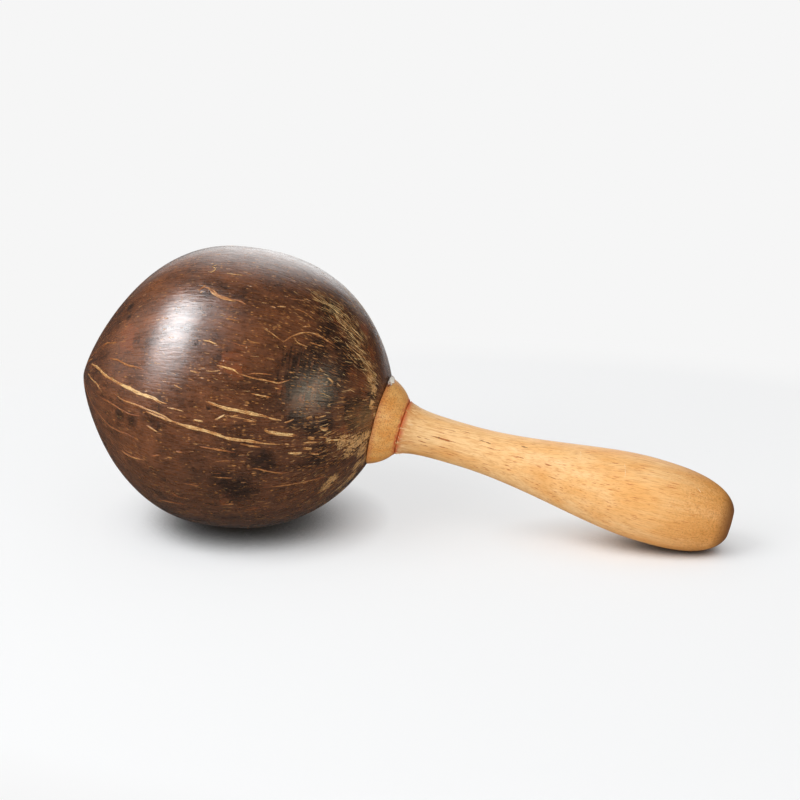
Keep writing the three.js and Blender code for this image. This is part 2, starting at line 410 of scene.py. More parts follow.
# How far a stain fades out past its radius, as a share of the radius
stain_reach = 1.6
for stain, marks in shell_stains.items():
    spots = [(shell_spot(pixel), radius * mm) for pixel, radius in marks]
    layer = shell.data.attributes.new(stain, "FLOAT", "POINT")
    for vertex in shell.data.vertices:
        strength = 0
        for place, radius in spots:
            away = (vertex.co - place).length / radius
            if away < stain_reach:
                strength = max(strength, 1 - (away / stain_reach) ** 2)
        layer.data[vertex.index].value = strength

shell_dark = linear("#341c0d")
shell_brown = linear("#824c2a")
shell_black = linear("#1d120b")
shell_hair = linear("#a0622f")
# The grey of the painted shade on the underside
shell_shade_grey = linear("#4a3728")
shell_rust = linear("#86421b")
shell_worn = linear("#cf9f64")
shell_pit = linear("#c98a48")
shell_gold = linear("#b8893f")
# Sizes in mm, and turns in cells to the radian of the girth
mottle_size, blotch_size = 16, 4.2
streak_length, streak_turn = 22, 9
vein_length, vein_turn = 7, 26
hair_length, hair_turn = 4.5, 70
pit_length, pit_turn = 3.2, 54
speck_length, speck_turn = 1.7, 84
scratch_length, scratch_turn = 0.8, 5
speckle_size, grime_size = 0.9, 0.75
shell_relief = 0.12 * mm


def in_frame(place):
    """A point's coordinates in a piece's own frame, in millimetres."""
    where = add(paint, "ShaderNodeTexCoord")
    return add(
        paint, "ShaderNodeMapping",
        {
            "Vector": where.outputs["Object"], "Location": tuple(place.to_translation()),
            "Rotation": tuple(place.to_euler()), "Scale": (mm, mm, mm),
        },
        vector_type="TEXTURE",
    )


own = in_frame(shell_place)
# Streaks follow the meridians: a point's direction from the long axis, and its place along it
flat = add(paint, "ShaderNodeVectorMath", {0: own, 1: (0, 1, 1)}, operation="MULTIPLY")
facing = add(paint, "ShaderNodeVectorMath", {0: flat}, operation="NORMALIZE")
lengthways = add(paint, "ShaderNodeSeparateXYZ", {0: own})


def combed(length, turn):
    """Coordinates whose cells are so many mm long and so many to the radian of the girth."""
    girth = add(paint, "ShaderNodeVectorMath", {0: facing, "Scale": turn}, operation="SCALE")
    run = add(
        paint, "ShaderNodeMath", {0: lengthways.outputs[0], 1: length}, operation="DIVIDE"
    )
    step = add(paint, "ShaderNodeCombineXYZ", {0: run})
    return add(paint, "ShaderNodeVectorMath", {0: girth, 1: step}, operation="ADD")


# Each pattern of clouds: its coordinates, scale, detail, roughness and distortion
mottle, streaks, veins, hairs, speckle, blotches, scratches, grime = (
    add(paint, "ShaderNodeTexNoise", {
        "Vector": vector, "Scale": scale, "Detail": detail, "Roughness": roughness,
        "Distortion": distortion,
    })
    for vector, scale, detail, roughness, distortion in (
        (own, 1 / mottle_size, 5.0, 0.6, 0.4),
        (combed(streak_length, streak_turn), 1.0, 6.0, 0.65, 0.0),
        (combed(vein_length, vein_turn), 1.0, 5.0, 0.7, 0.3),
        (combed(hair_length, hair_turn), 1.0, 4.0, 0.65, 0.0),
        (own, 1 / speckle_size, 4.0, 0.6, 0.0),
        (own, 1 / blotch_size, 6.0, 0.68, 0.6),
        (combed(scratch_length, scratch_turn), 1.0, 3.0, 0.6, 0.0),
        (own, 1 / grime_size, 4.0, 0.75, 1.0),
    )
)
tone = mottle
for pattern, weight in ((streaks, 1.0), (blotches, 0.9), (veins, 0.5), (speckle, 0.7)):
    tone = add(paint, "ShaderNodeMath", {0: pattern, 1: weight, 2: tone}, operation="MULTIPLY_ADD")
tone = add(paint, "ShaderNodeMapRange", {0: tone, 1: 1.68, 2: 2.42})
colour = add(paint, "ShaderNodeMix", {0: tone, 6: shell_dark, 7: shell_brown}, data_type="RGBA")
# Painted shade: the half by the eye end and the underside are darker and greyer than the pointed
# half, where the key light falls less
low = add(paint, "ShaderNodeMapRange", {0: lengthways.outputs[2], 1: 4.0, 2: -36.0, 4: 0.35})
eye_end_shade = add(paint, "ShaderNodeMapRange", {0: lengthways.outputs[0], 1: -20.0, 2: 46.0, 4: 0.42})
for share, tint in ((low, shell_shade_grey), (eye_end_shade, shell_dark)):
    colour = add(paint, "ShaderNodeMix", {0: share, 6: colour, 7: tint}, data_type="RGBA")
clumps = add(paint, "ShaderNodeMath", {0: hairs, 1: blotches}, operation="ADD")
clumps = add(paint, "ShaderNodeMath", {0: clumps, 1: 0.5, 2: -0.085}, operation="MULTIPLY_ADD")
fibrous = add(paint, "ShaderNodeMath", {0: hairs, 1: 0.6, 2: -0.3}, operation="MULTIPLY_ADD")
fibrous = add(paint, "ShaderNodeMath", {0: fibrous, 1: speckle}, operation="ADD")
# Each stain: its colour, its share at the most, and the pattern that breaks up its edge. Sanding
# across the fibres has left the fine dark curved lines in the sheen at the right.
for stain, tint, most, ragged, breaks in (
    ("rust", shell_rust, 0.45, 3.0, blotches), ("gold", shell_gold, 0.7, 12.0, clumps),
    ("soot", shell_black, 0.85, 1.8, blotches), ("sanded", shell_black, 0.85, 4.0, scratches),
    ("worn", shell_worn, 0.95, 4.0, fibrous),
):
    layer = add(paint, "ShaderNodeAttribute", attribute_name=stain)
    broken = add(
        paint, "ShaderNodeMath", {0: breaks, 1: ragged, 2: layer.outputs["Fac"]},
        operation="MULTIPLY_ADD",
    )
    share = add(
        paint, "ShaderNodeMapRange",
        {0: broken, 1: 0.45 + ragged * 0.5, 2: 1.0 + ragged * 0.5, 4: most},
    )
    inside = add(paint, "ShaderNodeMapRange", {0: layer.outputs["Fac"], 2: 0.3})
    share = add(paint, "ShaderNodeMath", {0: share, 1: inside}, operation="MULTIPLY")
    colour = add(paint, "ShaderNodeMix", {0: share, 6: colour, 7: tint}, data_type="RGBA")
# Hair-thin lighter and darker streaks
light = add(paint, "ShaderNodeMapRange", {0: hairs, 1: 0.58, 2: 0.74, 4: 0.32})
dark = add(paint, "ShaderNodeMapRange", {0: hairs, 1: 0.42, 2: 0.28, 4: 0.5})
grime = add(paint, "ShaderNodeMapRange", {0: grime, 1: 0.44, 2: 0.3, 4: 0.7})
dark = add(paint, "ShaderNodeMath", {0: dark, 1: grime}, operation="MAXIMUM")
for share, tint in ((light, shell_hair), (dark, shell_black)):
    colour = add(paint, "ShaderNodeMix", {0: share, 6: colour, 7: tint}, data_type="RGBA")


def dotted(colour, vector, uneven, needed, size, core, least, most, tint):
    """The colour with a dot of a tint in each cell whose lot is above what is needed."""
    vector = add(paint, "ShaderNodeVectorMath", {0: vector, 1: uneven}, operation="ADD")
    cells = add(paint, "ShaderNodeTexVoronoi", {"Vector": vector, "Scale": 1.0})
    lot = add(paint, "ShaderNodeSeparateColor", {0: cells.outputs["Color"]})
    here = add(paint, "ShaderNodeMath", {0: lot.outputs[0], 1: needed}, operation="GREATER_THAN")
    near = add(
        paint, "ShaderNodeMapRange", {0: cells.outputs["Distance"], 1: size, 2: size * core}
    )
    dot = add(paint, "ShaderNodeMath", {0: here, 1: near}, operation="MULTIPLY")
    share = add(paint, "ShaderNodeMapRange", {0: lot.outputs[1], 3: least * most, 4: most})
    dot = add(paint, "ShaderNodeMath", {0: dot, 1: share}, operation="MULTIPLY")
    return dot, add(paint, "ShaderNodeMix", {0: dot, 6: colour, 7: tint}, data_type="RGBA")


# Fine pits and then larger ones, thicker on the ground towards the eye end
uneven = add(
    paint, "ShaderNodeVectorMath", {0: speckle.outputs["Color"], "Scale": 0.9}, operation="SCALE"
)
for length, turn, size, least, most in (
    (speck_length, speck_turn, 0.38, 0.6, 0.7), (pit_length, pit_turn, 0.3, 0.72, 0.9)
):
    needed = add(
        paint, "ShaderNodeMapRange",
        {0: lengthways.outputs[0], 1: -40.0, 2: 44.0, 3: 0.985, 4: least},
    )
    pit, colour = dotted(
        colour, combed(length, turn), uneven, needed, size, 0.5, 0.25, most, shell_pit
    )
paint.links.new(colour.outputs[2], surface.inputs["Base Color"])

# The sanding combs the gloss along the fibres, and the pits break it
gloss = add(paint, "ShaderNodeMapRange", {0: hairs, 1: 0.3, 2: 0.7, 3: 0.2, 4: 0.38})
paint.links.new(gloss.outputs[0], surface.inputs["Roughness"])
combs = add(paint, "ShaderNodeMath", {0: hairs, 1: veins}, operation="ADD")
skim_share = add(paint, "ShaderNodeMapRange", {0: combs, 1: 0.8, 2: 1.16, 3: 0.3, 4: 1.0})
paint.links.new(skim_share.outputs[0], surface.inputs["Coat Weight"])
relief = add(paint, "ShaderNodeMath", {0: combs, 1: pit}, operation="SUBTRACT")
for strength, socket in ((0.6, "Normal"), (0.75, "Coat Normal")):
    bump = add(
        paint, "ShaderNodeBump",
        {"Strength": strength, "Distance": shell_relief, "Height": relief},
    )
    paint.links.new(bump.outputs[0], surface.inputs[socket])

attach(shell, "shaker")
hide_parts("coconut_shell")

# Husk fibres
# Coconut fibres run from the point to the eye end and stay behind in the sanded surface as pale
# threads. The long ones are laid where the photograph shows them, and shorter ones go round the
# sides that it doesn't show.

fibre_step = 0.45 * mm
fibre_sides = 6
fibre_flatness = 0.2
fibre_ragged = 0.22 * mm
fibre_noise_size = 0.9 * mm
fibre_seed = 5
fibre_slimness, fibre_least = 0.75, 0.1
bed_tone = 0.4
strand_share = 0.36
strand_spread = 0.62
strand_wander = 0.3
strand_wave = 4 * mm
swell_size = 1.8 * mm
fibre_blotch_size, splinter_size = 1.6 * mm, 0.45 * mm
# Half width in mm, tone from 0 cream to 1 rust, and the pixels that the fibre runs through
fibre_marks = [
    (0.50, 0.35, [(85.5, 364.5), (91, 364.6), (97, 367), (105, 375), (115, 381), (122, 385)]),
    (0.62, 0.10, [(115, 381), (122, 385), (130, 388.4), (140, 393.4), (151, 397.4), (159, 401.6),
        (167, 404)]),
    (0.30, 0.45, [(114, 393.4), (123.8, 400.5), (130.3, 402.6), (140, 406.4), (151, 410.8),
        (160, 415), (168, 418.4)]),
    (0.26, 0.12, [(123.8, 400.5), (135, 404.4), (151, 410.6), (164, 416), (172.6, 421.6)]),
    (0.40, 0.20, [(145.5, 411.3), (156.3, 415.6), (167, 419.6), (176, 422.6)]),
    (0.60, 0.18, [(168, 418.4), (174, 422), (183.4, 425.4), (194.2, 428), (205, 430.8), (216, 434),
        (227, 437.9), (238, 440), (248, 441), (263, 443.3)]),
    (0.26, 0.45, [(238, 440), (263, 443.3), (280, 444.5)]),
    (0.30, 0.45, [(88, 373), (92, 379), (97, 384), (102, 391.6)]),
    (0.36, 0.55, [(108.5, 357), (113, 359), (118, 360), (127, 365), (136, 367), (144, 369.6)]),
    (0.24, 0.55, [(101, 351), (106, 343.6), (112, 343), (118, 342)]),
    (0.26, 0.65, [(100, 396.7), (111, 403.2), (121.6, 410), (131.4, 414.6), (141, 415.8)]),
    (0.22, 0.70, [(93.4, 405.4), (100, 415), (108.6, 425), (118.4, 430.8), (127, 434),
        (135.7, 439)]),
    (0.30, 0.50, [(120.5, 449.8), (129.2, 455.8), (137, 458.5), (144.4, 460)]),
    (0.28, 0.30, [(146.5, 425), (151, 428), (157.4, 432)]),
    (0.20, 0.30, [(167, 407.5), (175, 409), (183.4, 411.3)]),
    (0.45, 0.62, [(198.6, 291), (204, 287), (210.5, 289)]),
    (0.75, 0.50, [(208, 288), (214, 293), (219, 296.4), (227, 299), (236, 300.4)]),
    (0.40, 0.68, [(234, 299.4), (241, 301.6), (246, 304.6)]),
    (0.26, 0.35, [(227, 273.4), (236, 274.6), (247, 275.6)]),
    (0.20, 0.10, [(208, 271.6), (212, 272), (216, 268.4), (212, 267), (217, 264.8)]),
    (0.40, 0.15, [(217, 365), (227, 368), (233, 369.6), (238.6, 373.6)]),
    (0.28, 0.42, [(238, 373.2), (252.9, 377.8), (269.6, 381.2), (277.5, 383), (284, 381.6),
        (291, 379.4)]),
    (0.16, 0.50, [(247.3, 374.6), (257.4, 373.4), (273, 375)]),
    (0.26, 0.45, [(190, 370.5), (198.6, 373)]),
    (0.18, 0.15, [(206, 370.6), (213, 371.4), (220, 370.4)]),
    (0.22, 0.50, [(226, 318.5), (237.6, 320.6)]),
    (0.20, 0.20, [(203, 340), (210, 341.6), (217, 344.5)]),
    (0.18, 0.20, [(173.6, 384.6), (182, 389)]),
    (0.26, 0.40, [(277.5, 306.4), (286, 307)]),
    (0.16, 0.55, [(288.6, 298.6), (305, 301)]),
    (0.22, 0.50, [(296.4, 308.7), (305.4, 313), (314.3, 319.8)]),
    (0.24, 0.55, [(303, 326.5), (311, 326.7)]),
    (0.30, 0.38, [(283.6, 342), (290.8, 337), (300.9, 333.2), (309.8, 332.6), (319.9, 336),
        (327.7, 341), (335, 345.6)]),
    (0.20, 0.45, [(261.8, 327.6), (269.6, 332), (276, 336.6), (283.6, 342)]),
    (0.24, 0.35, [(294.7, 339.3), (298.6, 343.3), (307.6, 347)]),
    (0.22, 0.45, [(309.8, 342), (317.6, 345), (324.3, 346.6)]),
    (0.22, 0.50, [(247.3, 339.3), (251.8, 342), (259.6, 343.2)]),
    (0.16, 0.55, [(231, 342), (241.7, 345.5), (250.7, 346.6)]),
    (0.30, 0.35, [(250.7, 393.5), (261.8, 395.7), (270.8, 397.4)]),
    (0.45, 0.15, [(327.7, 377.8), (333.3, 382.3)]),
    (0.30, 0.20, [(216, 419.4), (224.6, 414.6)]),
    (0.20, 0.45, [(224.6, 415), (242, 418.4), (256, 421.5)]),
    (0.60, 0.25, [(205, 401), (216, 405.4), (226.8, 408.4), (236.5, 410.2), (248, 412.9),
        (262.9, 415.8), (271, 418.2)]),
    (0.36, 0.30, [(268, 417.6), (275, 419.2), (281.4, 420.4)]),
    (0.26, 0.40, [(284, 422.6), (289.3, 421.5), (293.9, 419)]),
    (0.36, 0.10, [(194, 419.6), (203, 421.8)]),
    (0.34, 0.55, [(199.7, 446.5), (208, 448), (216, 449.3), (235.4, 452.6)]),
    (0.20, 0.75, [(151, 456.3), (159.5, 455)]),
    (0.28, 0.65, [(175.8, 451.4), (182.3, 452.5)]),
    (0.24, 0.70, [(214.8, 461.7), (229, 460.6)]),
    (0.24, 0.85, [(183.4, 483.4), (198.6, 485.6)]),
    (0.26, 0.70, [(157.4, 499.7), (167, 501.3), (186.6, 504.5)]),
    (0.22, 0.75, [(170.4, 492), (179, 497), (185.6, 498.2)]),
    (0.26, 0.80, [(217, 477.4), (232, 478)]),
    (0.30, 0.85, [(221, 505), (232, 503.5)]),
    (0.30, 0.35, [(240, 444), (260.6, 447.3)]),
    (0.72, 0.22, [(264, 430.7), (274.4, 433), (282.4, 434.2), (297.3, 435.3)]),
    (0.46, 0.15, [(288, 453), (302, 453.2)]),
    (0.40, 0.40, [(311, 453.6), (319, 454.2)]),
    (0.50, 0.35, [(303.6, 448.2), (312, 449)]),
    (0.40, 0.50, [(284.7, 443.6), (289.6, 444.8)]),
    (0.36, 0.45, [(303, 442.7), (316.8, 442.2)]),
    (0.62, 0.45, [(307.7, 437.4), (314.5, 438.4)]),
    (0.42, 0.15, [(327.2, 440.4), (335, 440), (343.2, 439.2)]),
    (0.26, 0.40, [(319, 437), (327, 437.6)]),
    (0.36, 0.35, [(319, 417.2), (326, 415.6)]),
    (0.60, 0.40, [(320, 427), (324, 429.6), (328.3, 428)]),
    (0.46, 0.45, [(306.5, 418.6), (312, 416.3)]),
    (0.26, 0.60, [(260.6, 487.5), (276.7, 486.4), (296.2, 483.5), (316.8, 478.9), (328.3, 476)]),
    (0.24, 0.50, [(248, 469.7), (256, 468.6), (268.6, 471.4), (280, 473), (289.3, 472.6)]),
    (0.30, 0.50, [(243.4, 420.8), (256, 421.7)]),
]
unseen_fibres = 90
unseen_half_width = (0.16, 0.42)
unseen_run = (5, 26)

laying, given, made = new_tree(
    "laid_fibres", Step="Float", Flatness="Float", Ragged="Float", Size="Float", Finish="Material"
)
step_input, flat_input, ragged_input, size_input, finish_input = given.outputs[1:6]
threads = add(laying, "GeometryNodeMeshToCurve", {0: given.outputs[0]})
threads = add(
    laying, "GeometryNodeResampleCurve", {0: threads, "Length": step_input}, mode="LENGTH"
)
lift = add(laying, "GeometryNodeInputNamedAttribute", {0: "lift"}, data_type="FLOAT_VECTOR")
threads = add(laying, "GeometryNodeSetCurveNormal", {0: threads, "Normal": lift}, mode="FREE")
ring = add(laying, "GeometryNodeCurvePrimitiveCircle", {"Resolution": fibre_sides, "Radius": 1.0})
squeeze = add(laying, "ShaderNodeCombineXYZ", {0: flat_input, 1: 1.0, 2: 1.0})
ring = add(laying, "GeometryNodeTransform", {0: ring, "Scale": squeeze})
width = add(laying, "GeometryNodeInputNamedAttribute", {0: "half_width"}, data_type="FLOAT")
threads = add(
    laying, "GeometryNodeCurveToMesh", {0: threads, 1: ring, "Scale": width, "Fill Caps": True}
)
spot = add(laying, "GeometryNodeInputPosition")
fine = add(laying, "ShaderNodeMath", {0: 1.0, 1: size_input}, operation="DIVIDE")


def ragged_shift(tree, spot, fineness, lift, most):
    """A random shift of each point, level with the surface that it lies on."""
    cloud = add(tree, "ShaderNodeTexNoise", {"Vector": spot, "Scale": fineness, "Detail": 2.0})
    shift = add(
        tree, "ShaderNodeVectorMath", {0: cloud.outputs["Color"], 1: (-0.5,) * 3}, operation="ADD"
    )
    outward = add(tree, "ShaderNodeVectorMath", {0: shift, 1: lift}, operation="DOT_PRODUCT")
    outward = add(
        tree, "ShaderNodeVectorMath", {0: lift, "Scale": outward.outputs["Value"]},
        operation="SCALE",
    )
    shift = add(tree, "ShaderNodeVectorMath", {0: shift, 1: outward}, operation="SUBTRACT")
    return add(tree, "ShaderNodeVectorMath", {0: shift, "Scale": most}, operation="SCALE")


shift = ragged_shift(laying, spot, fine, lift, ragged_input)
threads = add(laying, "GeometryNodeSetPosition", {0: threads, "Offset": shift})
threads = add(laying, "GeometryNodeSetShadeSmooth", {0: threads, 2: True})
threads = add(laying, "GeometryNodeRealizeInstances", {0: threads})
threads = add(laying, "GeometryNodeSetMaterial", {0: threads, "Material": finish_input})
laying.links.new(threads.outputs[0], made.inputs[0])


def eased(points, step):
    """A smooth line through the points, with a point about every step."""
    line = []
    ends = [points[0] * 2 - points[1], *points, points[-1] * 2 - points[-2]]
    for a, b, c, d in zip(ends, ends[1:], ends[2:], ends[3:]):
        count = max(1, round((c - b).length / step))
        for i in range(count):
            t = i / count
            line.append(0.5 * (
                2 * b + (c - a) * t + (2 * a - 5 * b + 4 * c - d) * t ** 2
                + (3 * b - a - 3 * c + d) * t ** 3
            ))
    return [*line, points[-1]]


def frayed(marks, draw, most_strands=3):
    """Each fibre as a darker bed with thinner, paler strands that wander along it."""
    threads = []
    for half_width, tone, points in marks:
        threads.append((half_width, min(1, tone + bed_tone), points, 0, 0, (0, 1), 0))
        count = min(most_strands, 1 + (half_width > 0.24) + (half_width > 0.44))
        for i in range(count):
            aside = (i - (count - 1) / 2) * strand_spread * half_width
            ends = (draw.uniform(0, 0.16), 1 - draw.uniform(0, 0.16))
            threads.append((
                half_width * strand_share, tone + draw.uniform(-0.15, 0.15), points, aside,
                strand_wander * half_width, ends, fibre_flatness * half_width,
            ))
    return threads


def laid(name, surface, threads, finish, body):
    """One piece of threads that lie along a surface."""
    places, edges, lifts, widths, tones = [], [], [], [], []
    for turn, (half_width, tone, points, aside, wander, ends, rise) in enumerate(threads):
        line = eased(points, fibre_step * 2)
        line = line[int(ends[0] * len(line)):max(3, math.ceil(ends[1] * len(line)))]
        for i, point in enumerate(line):
            ahead = (line[min(i + 1, len(line) - 1)] - line[max(i - 1, 0)]).normalized()
            place, normal = surface.find_nearest(point)[:2]
            drift = noise.noise(Vector((i * fibre_step * 2 / strand_wave, turn, 0)))
            beside = normal.cross(ahead) * (aside + 2 * wander * drift) * mm
            place, normal = surface.find_nearest(place + beside)[:2]
            share = i / (len(line) - 1)
            taper = (1 - abs(2 * share - 1) ** 3.5) ** 0.7
            swell = 1 + 0.7 * noise.noise(place / swell_size)
            if i:
                edges.append((len(places) - 1, len(places)))
            places.append(place + normal * rise * mm * taper)
            lifts.append(normal)
            widths.append(max(0.04 * mm, half_width * mm * taper * swell))
            tones.append(tone)
    base = bpy.data.meshes.new(name)
    base.from_pydata(places, edges, [])
    for label, kind, values in (
        ("lift", "FLOAT_VECTOR", lifts), ("half_width", "FLOAT", widths), ("tone", "FLOAT", tones)
    ):
        layer = base.attributes.new(label, kind, "POINT")
        for i, value in enumerate(values):
            if kind == "FLOAT":
                layer.data[i].value = value
            else:
                layer.data[i].vector = value
    piece = grown(
        name, laying, base, Matrix.Identity(4), Step=fibre_step, Flatness=fibre_flatness,
        Ragged=fibre_ragged, Size=fibre_noise_size, Finish=finish,
    )
    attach(piece, body)
    return piece


# Dried husk fibre: bast that was cut open by the sanding. It is cream to rust, dull, and broken
# into fine splinters along its run.
fibre_finish, paint, surface = new_finish("sanded_husk_fibre", {"Roughness": 0.42, "IOR": 1.48})
fibre_cream = linear("#e2bb7e")
fibre_gold = linear("#ae7136")
fibre_rust = linear("#7f4420")
fibre_shadow = linear("#6a3a1e")
where = add(paint, "ShaderNodeTexCoord")


def toned(size, detail, roughness, spread, pale, middle, deep, to_middle, to_deep):
    """A thread's colour by its tone, which clouds shift by a spread, from pale to deep."""
    tone = add(paint, "ShaderNodeAttribute", attribute_name="tone")
    blotch = add(
        paint, "ShaderNodeTexNoise",
        {
            "Vector": where.outputs["Object"], "Scale": 1 / size, "Detail": detail,
            "Roughness": roughness,
        },
    )
    blotch = add(paint, "ShaderNodeMapRange", {0: blotch, 1: 0.3, 2: 0.7, 3: -spread, 4: spread})
    tone = add(paint, "ShaderNodeMath", {0: tone.outputs["Fac"], 1: blotch}, operation="ADD")
    colour = pale
    for (start, end), tint in ((to_middle, middle), (to_deep, deep)):
        share = add(paint, "ShaderNodeMapRange", {0: tone, 1: start, 2: end})
        colour = add(paint, "ShaderNodeMix", {0: share, 6: colour, 7: tint}, data_type="RGBA")
    return colour


colour = toned(
    fibre_blotch_size, 4.0, 0.65, 0.28, fibre_cream, fibre_gold, fibre_rust, (0.0, 0.5), (0.5, 0.95)
)
splinter = add(
    paint, "ShaderNodeTexNoise",
    {
        "Vector": where.outputs["Object"], "Scale": 1 / splinter_size, "Detail": 3.0,
        "Distortion": 1.0,
    },
)
split = add(paint, "ShaderNodeMapRange", {0: splinter, 1: 0.56, 2: 0.68, 4: 0.7})
colour = add(paint, "ShaderNodeMix", {0: split, 6: colour, 7: fibre_shadow}, data_type="RGBA")
paint.links.new(colour.outputs[2], surface.inputs["Base Color"])
bump = add(paint, "ShaderNodeBump", {"Strength": 0.35, "Distance": 0.08 * mm, "Height": splinter})
paint.links.new(bump.outputs[0], surface.inputs["Normal"])

seen_marks = [
    (fibre_least + half_width * fibre_slimness, tone, [shell_spot(pixel) for pixel in pixels])
    for half_width, tone, pixels in fibre_marks
]


def on_shell(along, around):
    """A point of the shell by its share of the length from the belly and its angle."""
    length, girth = shell_section(along)[:2]
    radius = belly_radius * girth
    return shell_place @ Vector((
        along * length, radius * math.cos(around), radius * math.sin(around)
    ))


# Fibres on the sides that the photograph doesn't show, along the same meridians
draw = random.Random(fibre_seed)
hidden_marks = []
while len(hidden_marks) < unseen_fibres:
    along = draw.uniform(-0.92, 0.8)
    around = draw.uniform(0, math.tau)
    half_width = draw.uniform(*unseen_half_width)
    tone = draw.uniform(0.15, 0.85)
    run = draw.uniform(*unseen_run) * mm / nose_length
    middle = on_shell(along, around)
    if (middle - shell_middle).dot(camera_place - shell_middle) > 0:
        continue
    points = []
    for share in (-0.5, -0.17, 0.17, 0.5):
        place = min(0.85, max(-0.97, along + share * run))
        points.append(on_shell(place, around + draw.uniform(-0.02, 0.02)))
    hidden_marks.append((half_width, tone, points))

fibres = laid(
    "husk_fibres", shell_surface, frayed(seen_marks, draw) + frayed(hidden_marks, draw, 2),
    fibre_finish, "shaker",
)

# Husk flecks
# Between the long fibres the sanded shell is full of short ones, cut off at a slant: thin dashes
# a millimetre or two long, few near the point, and dense, long and golden near the collar.

fleck_seed = 11
fleck_density = 15 / (10 * mm) ** 2
fleck_length, fleck_width, fleck_height = 1.3 * mm, 0.3 * mm, 0.05 * mm
fleck_ragged = 0.12 * mm
heel_band, heel_band_width = 0.74, 0.13
gold_radius = 4.4 * mm
patch_size, low_depth = 9 * mm, 30 * mm
skin_sides, skin_rings = 128, 88

scattering, given, made = new_tree(
    "scattered_flecks", Density="Float", Length="Float", Width="Float", Height="Float",
    Ragged="Float", Seed="Int", Finish="Material",
)
density, length, width, height, ragged_input, seed, finish_input = given.outputs[1:8]
share = add(scattering, "GeometryNodeInputNamedAttribute", {0: "share"}, data_type="FLOAT")
thick = add(scattering, "ShaderNodeMath", {0: share, 1: density}, operation="MULTIPLY")
spread = add(
    scattering, "GeometryNodeDistributePointsOnFaces",
    {0: given.outputs[0], "Density": thick, "Seed": seed}, distribute_method="RANDOM",
)
lens = add(scattering, "GeometryNodeMeshGrid", {0: 1.0, 1: 1.0, 2: 4, 3: 3})
spot = add(scattering, "GeometryNodeInputPosition")
parts = add(scattering, "ShaderNodeSeparateXYZ", {0: spot})
run = add(
    scattering, "ShaderNodeMath", {0: parts.outputs[0], 1: parts.outputs[0]}, operation="MULTIPLY"
)
run = add(scattering, "ShaderNodeMath", {0: run, 1: -3.9, 2: 1.0}, operation="MULTIPLY_ADD")
side = add(scattering, "ShaderNodeMath", {0: parts.outputs[1], 1: run}, operation="MULTIPLY")
crown = add(scattering, "ShaderNodeMath", {0: parts.outputs[1]}, operation="ABSOLUTE")
crown = add(scattering, "ShaderNodeMath", {0: crown, 1: -2.4, 2: 0.7}, operation="MULTIPLY_ADD")
crown = add(scattering, "ShaderNodeMath", {0: crown, 1: run}, operation="MULTIPLY")
form = add(scattering, "ShaderNodeCombineXYZ", {0: parts.outputs[0], 1: side, 2: crown})
lens = add(scattering, "GeometryNodeSetPosition", {0: lens, "Position": form})
lens = add(scattering, "GeometryNodeSetShadeSmooth", {0: lens, 2: True})
along = add(scattering, "GeometryNodeInputNamedAttribute", {0: "grain"}, data_type="FLOAT_VECTOR")
wander = add(
    scattering, "FunctionNodeRandomValue",
    {0: (-0.35,) * 3, 1: (0.35,) * 3, "Seed": 3}, data_type="FLOAT_VECTOR",
)
along = add(scattering, "ShaderNodeVectorMath", {0: along, 1: wander}, operation="ADD")
turn = add(
    scattering, "FunctionNodeAlignRotationToVector", {"Vector": spread.outputs["Normal"]}, axis="Z"
)
turn = add(
    scattering, "FunctionNodeAlignRotationToVector", {"Rotation": turn, "Vector": along},
    axis="X", pivot_axis="Z",
)
long = add(scattering, "FunctionNodeRandomValue", {2: 0.0, 3: 1.0, "Seed": 1}, data_type="FLOAT")
long = add(scattering, "ShaderNodeMath", {0: long, 1: 2.6}, operation="POWER")
long = add(scattering, "ShaderNodeMath", {0: long, 1: 1.9, 2: 0.35}, operation="MULTIPLY_ADD")
wide = add(scattering, "FunctionNodeRandomValue", {2: 0.5, 3: 1.35, "Seed": 2}, data_type="FLOAT")
reach = add(scattering, "GeometryNodeInputNamedAttribute", {0: "reach"}, data_type="FLOAT")
long = add(scattering, "ShaderNodeMath", {0: long, 1: reach}, operation="MULTIPLY")
long = add(scattering, "ShaderNodeMath", {0: long, 1: length}, operation="MULTIPLY")
wide = add(scattering, "ShaderNodeMath", {0: wide, 1: width}, operation="MULTIPLY")
size = add(scattering, "ShaderNodeCombineXYZ", {0: long, 1: wide, 2: height})
flecks = add(
    scattering, "GeometryNodeInstanceOnPoints",
    {0: spread, "Instance": lens, "Rotation": turn, "Scale": size},
)
tone = add(scattering, "FunctionNodeRandomValue", {2: 0.5, 3: 1.4, "Seed": 4}, data_type="FLOAT")
tone = add(scattering, "ShaderNodeMath", {0: reach, 1: -0.3, 2: tone}, operation="MULTIPLY_ADD")
flecks = add(
    scattering, "GeometryNodeStoreNamedAttribute", {0: flecks, "Name": "tone", "Value": tone},
    data_type="FLOAT", domain="INSTANCE",
)
flecks = add(scattering, "GeometryNodeRealizeInstances", {0: flecks})
face = add(scattering, "GeometryNodeInputNormal")
shift = ragged_shift(scattering, spot, 1 / fibre_noise_size, face, ragged_input)
flecks = add(scattering, "GeometryNodeSetPosition", {0: flecks, "Offset": shift})
flecks = add(scattering, "GeometryNodeSetMaterial", {0: flecks, "Material": finish_input})
scattering.links.new(flecks.outputs[0], made.inputs[0])


def sown(name, base, rule, **values):
    """Flecks over a mesh. The rule gives a vertex's share of the density, reach and grain."""
    for label, kind in (("share", "FLOAT"), ("reach", "FLOAT"), ("grain", "FLOAT_VECTOR")):
        base.attributes.new(label, kind, "POINT")
    for vertex in base.vertices:
        share, reach, grain = rule(vertex.co, vertex.normal)
        base.attributes["share"].data[vertex.index].value = share
        base.attributes["reach"].data[vertex.index].value = reach
        base.attributes["grain"].data[vertex.index].vector = grain
    return grown(name, scattering, base, Matrix.Identity(4), **values)


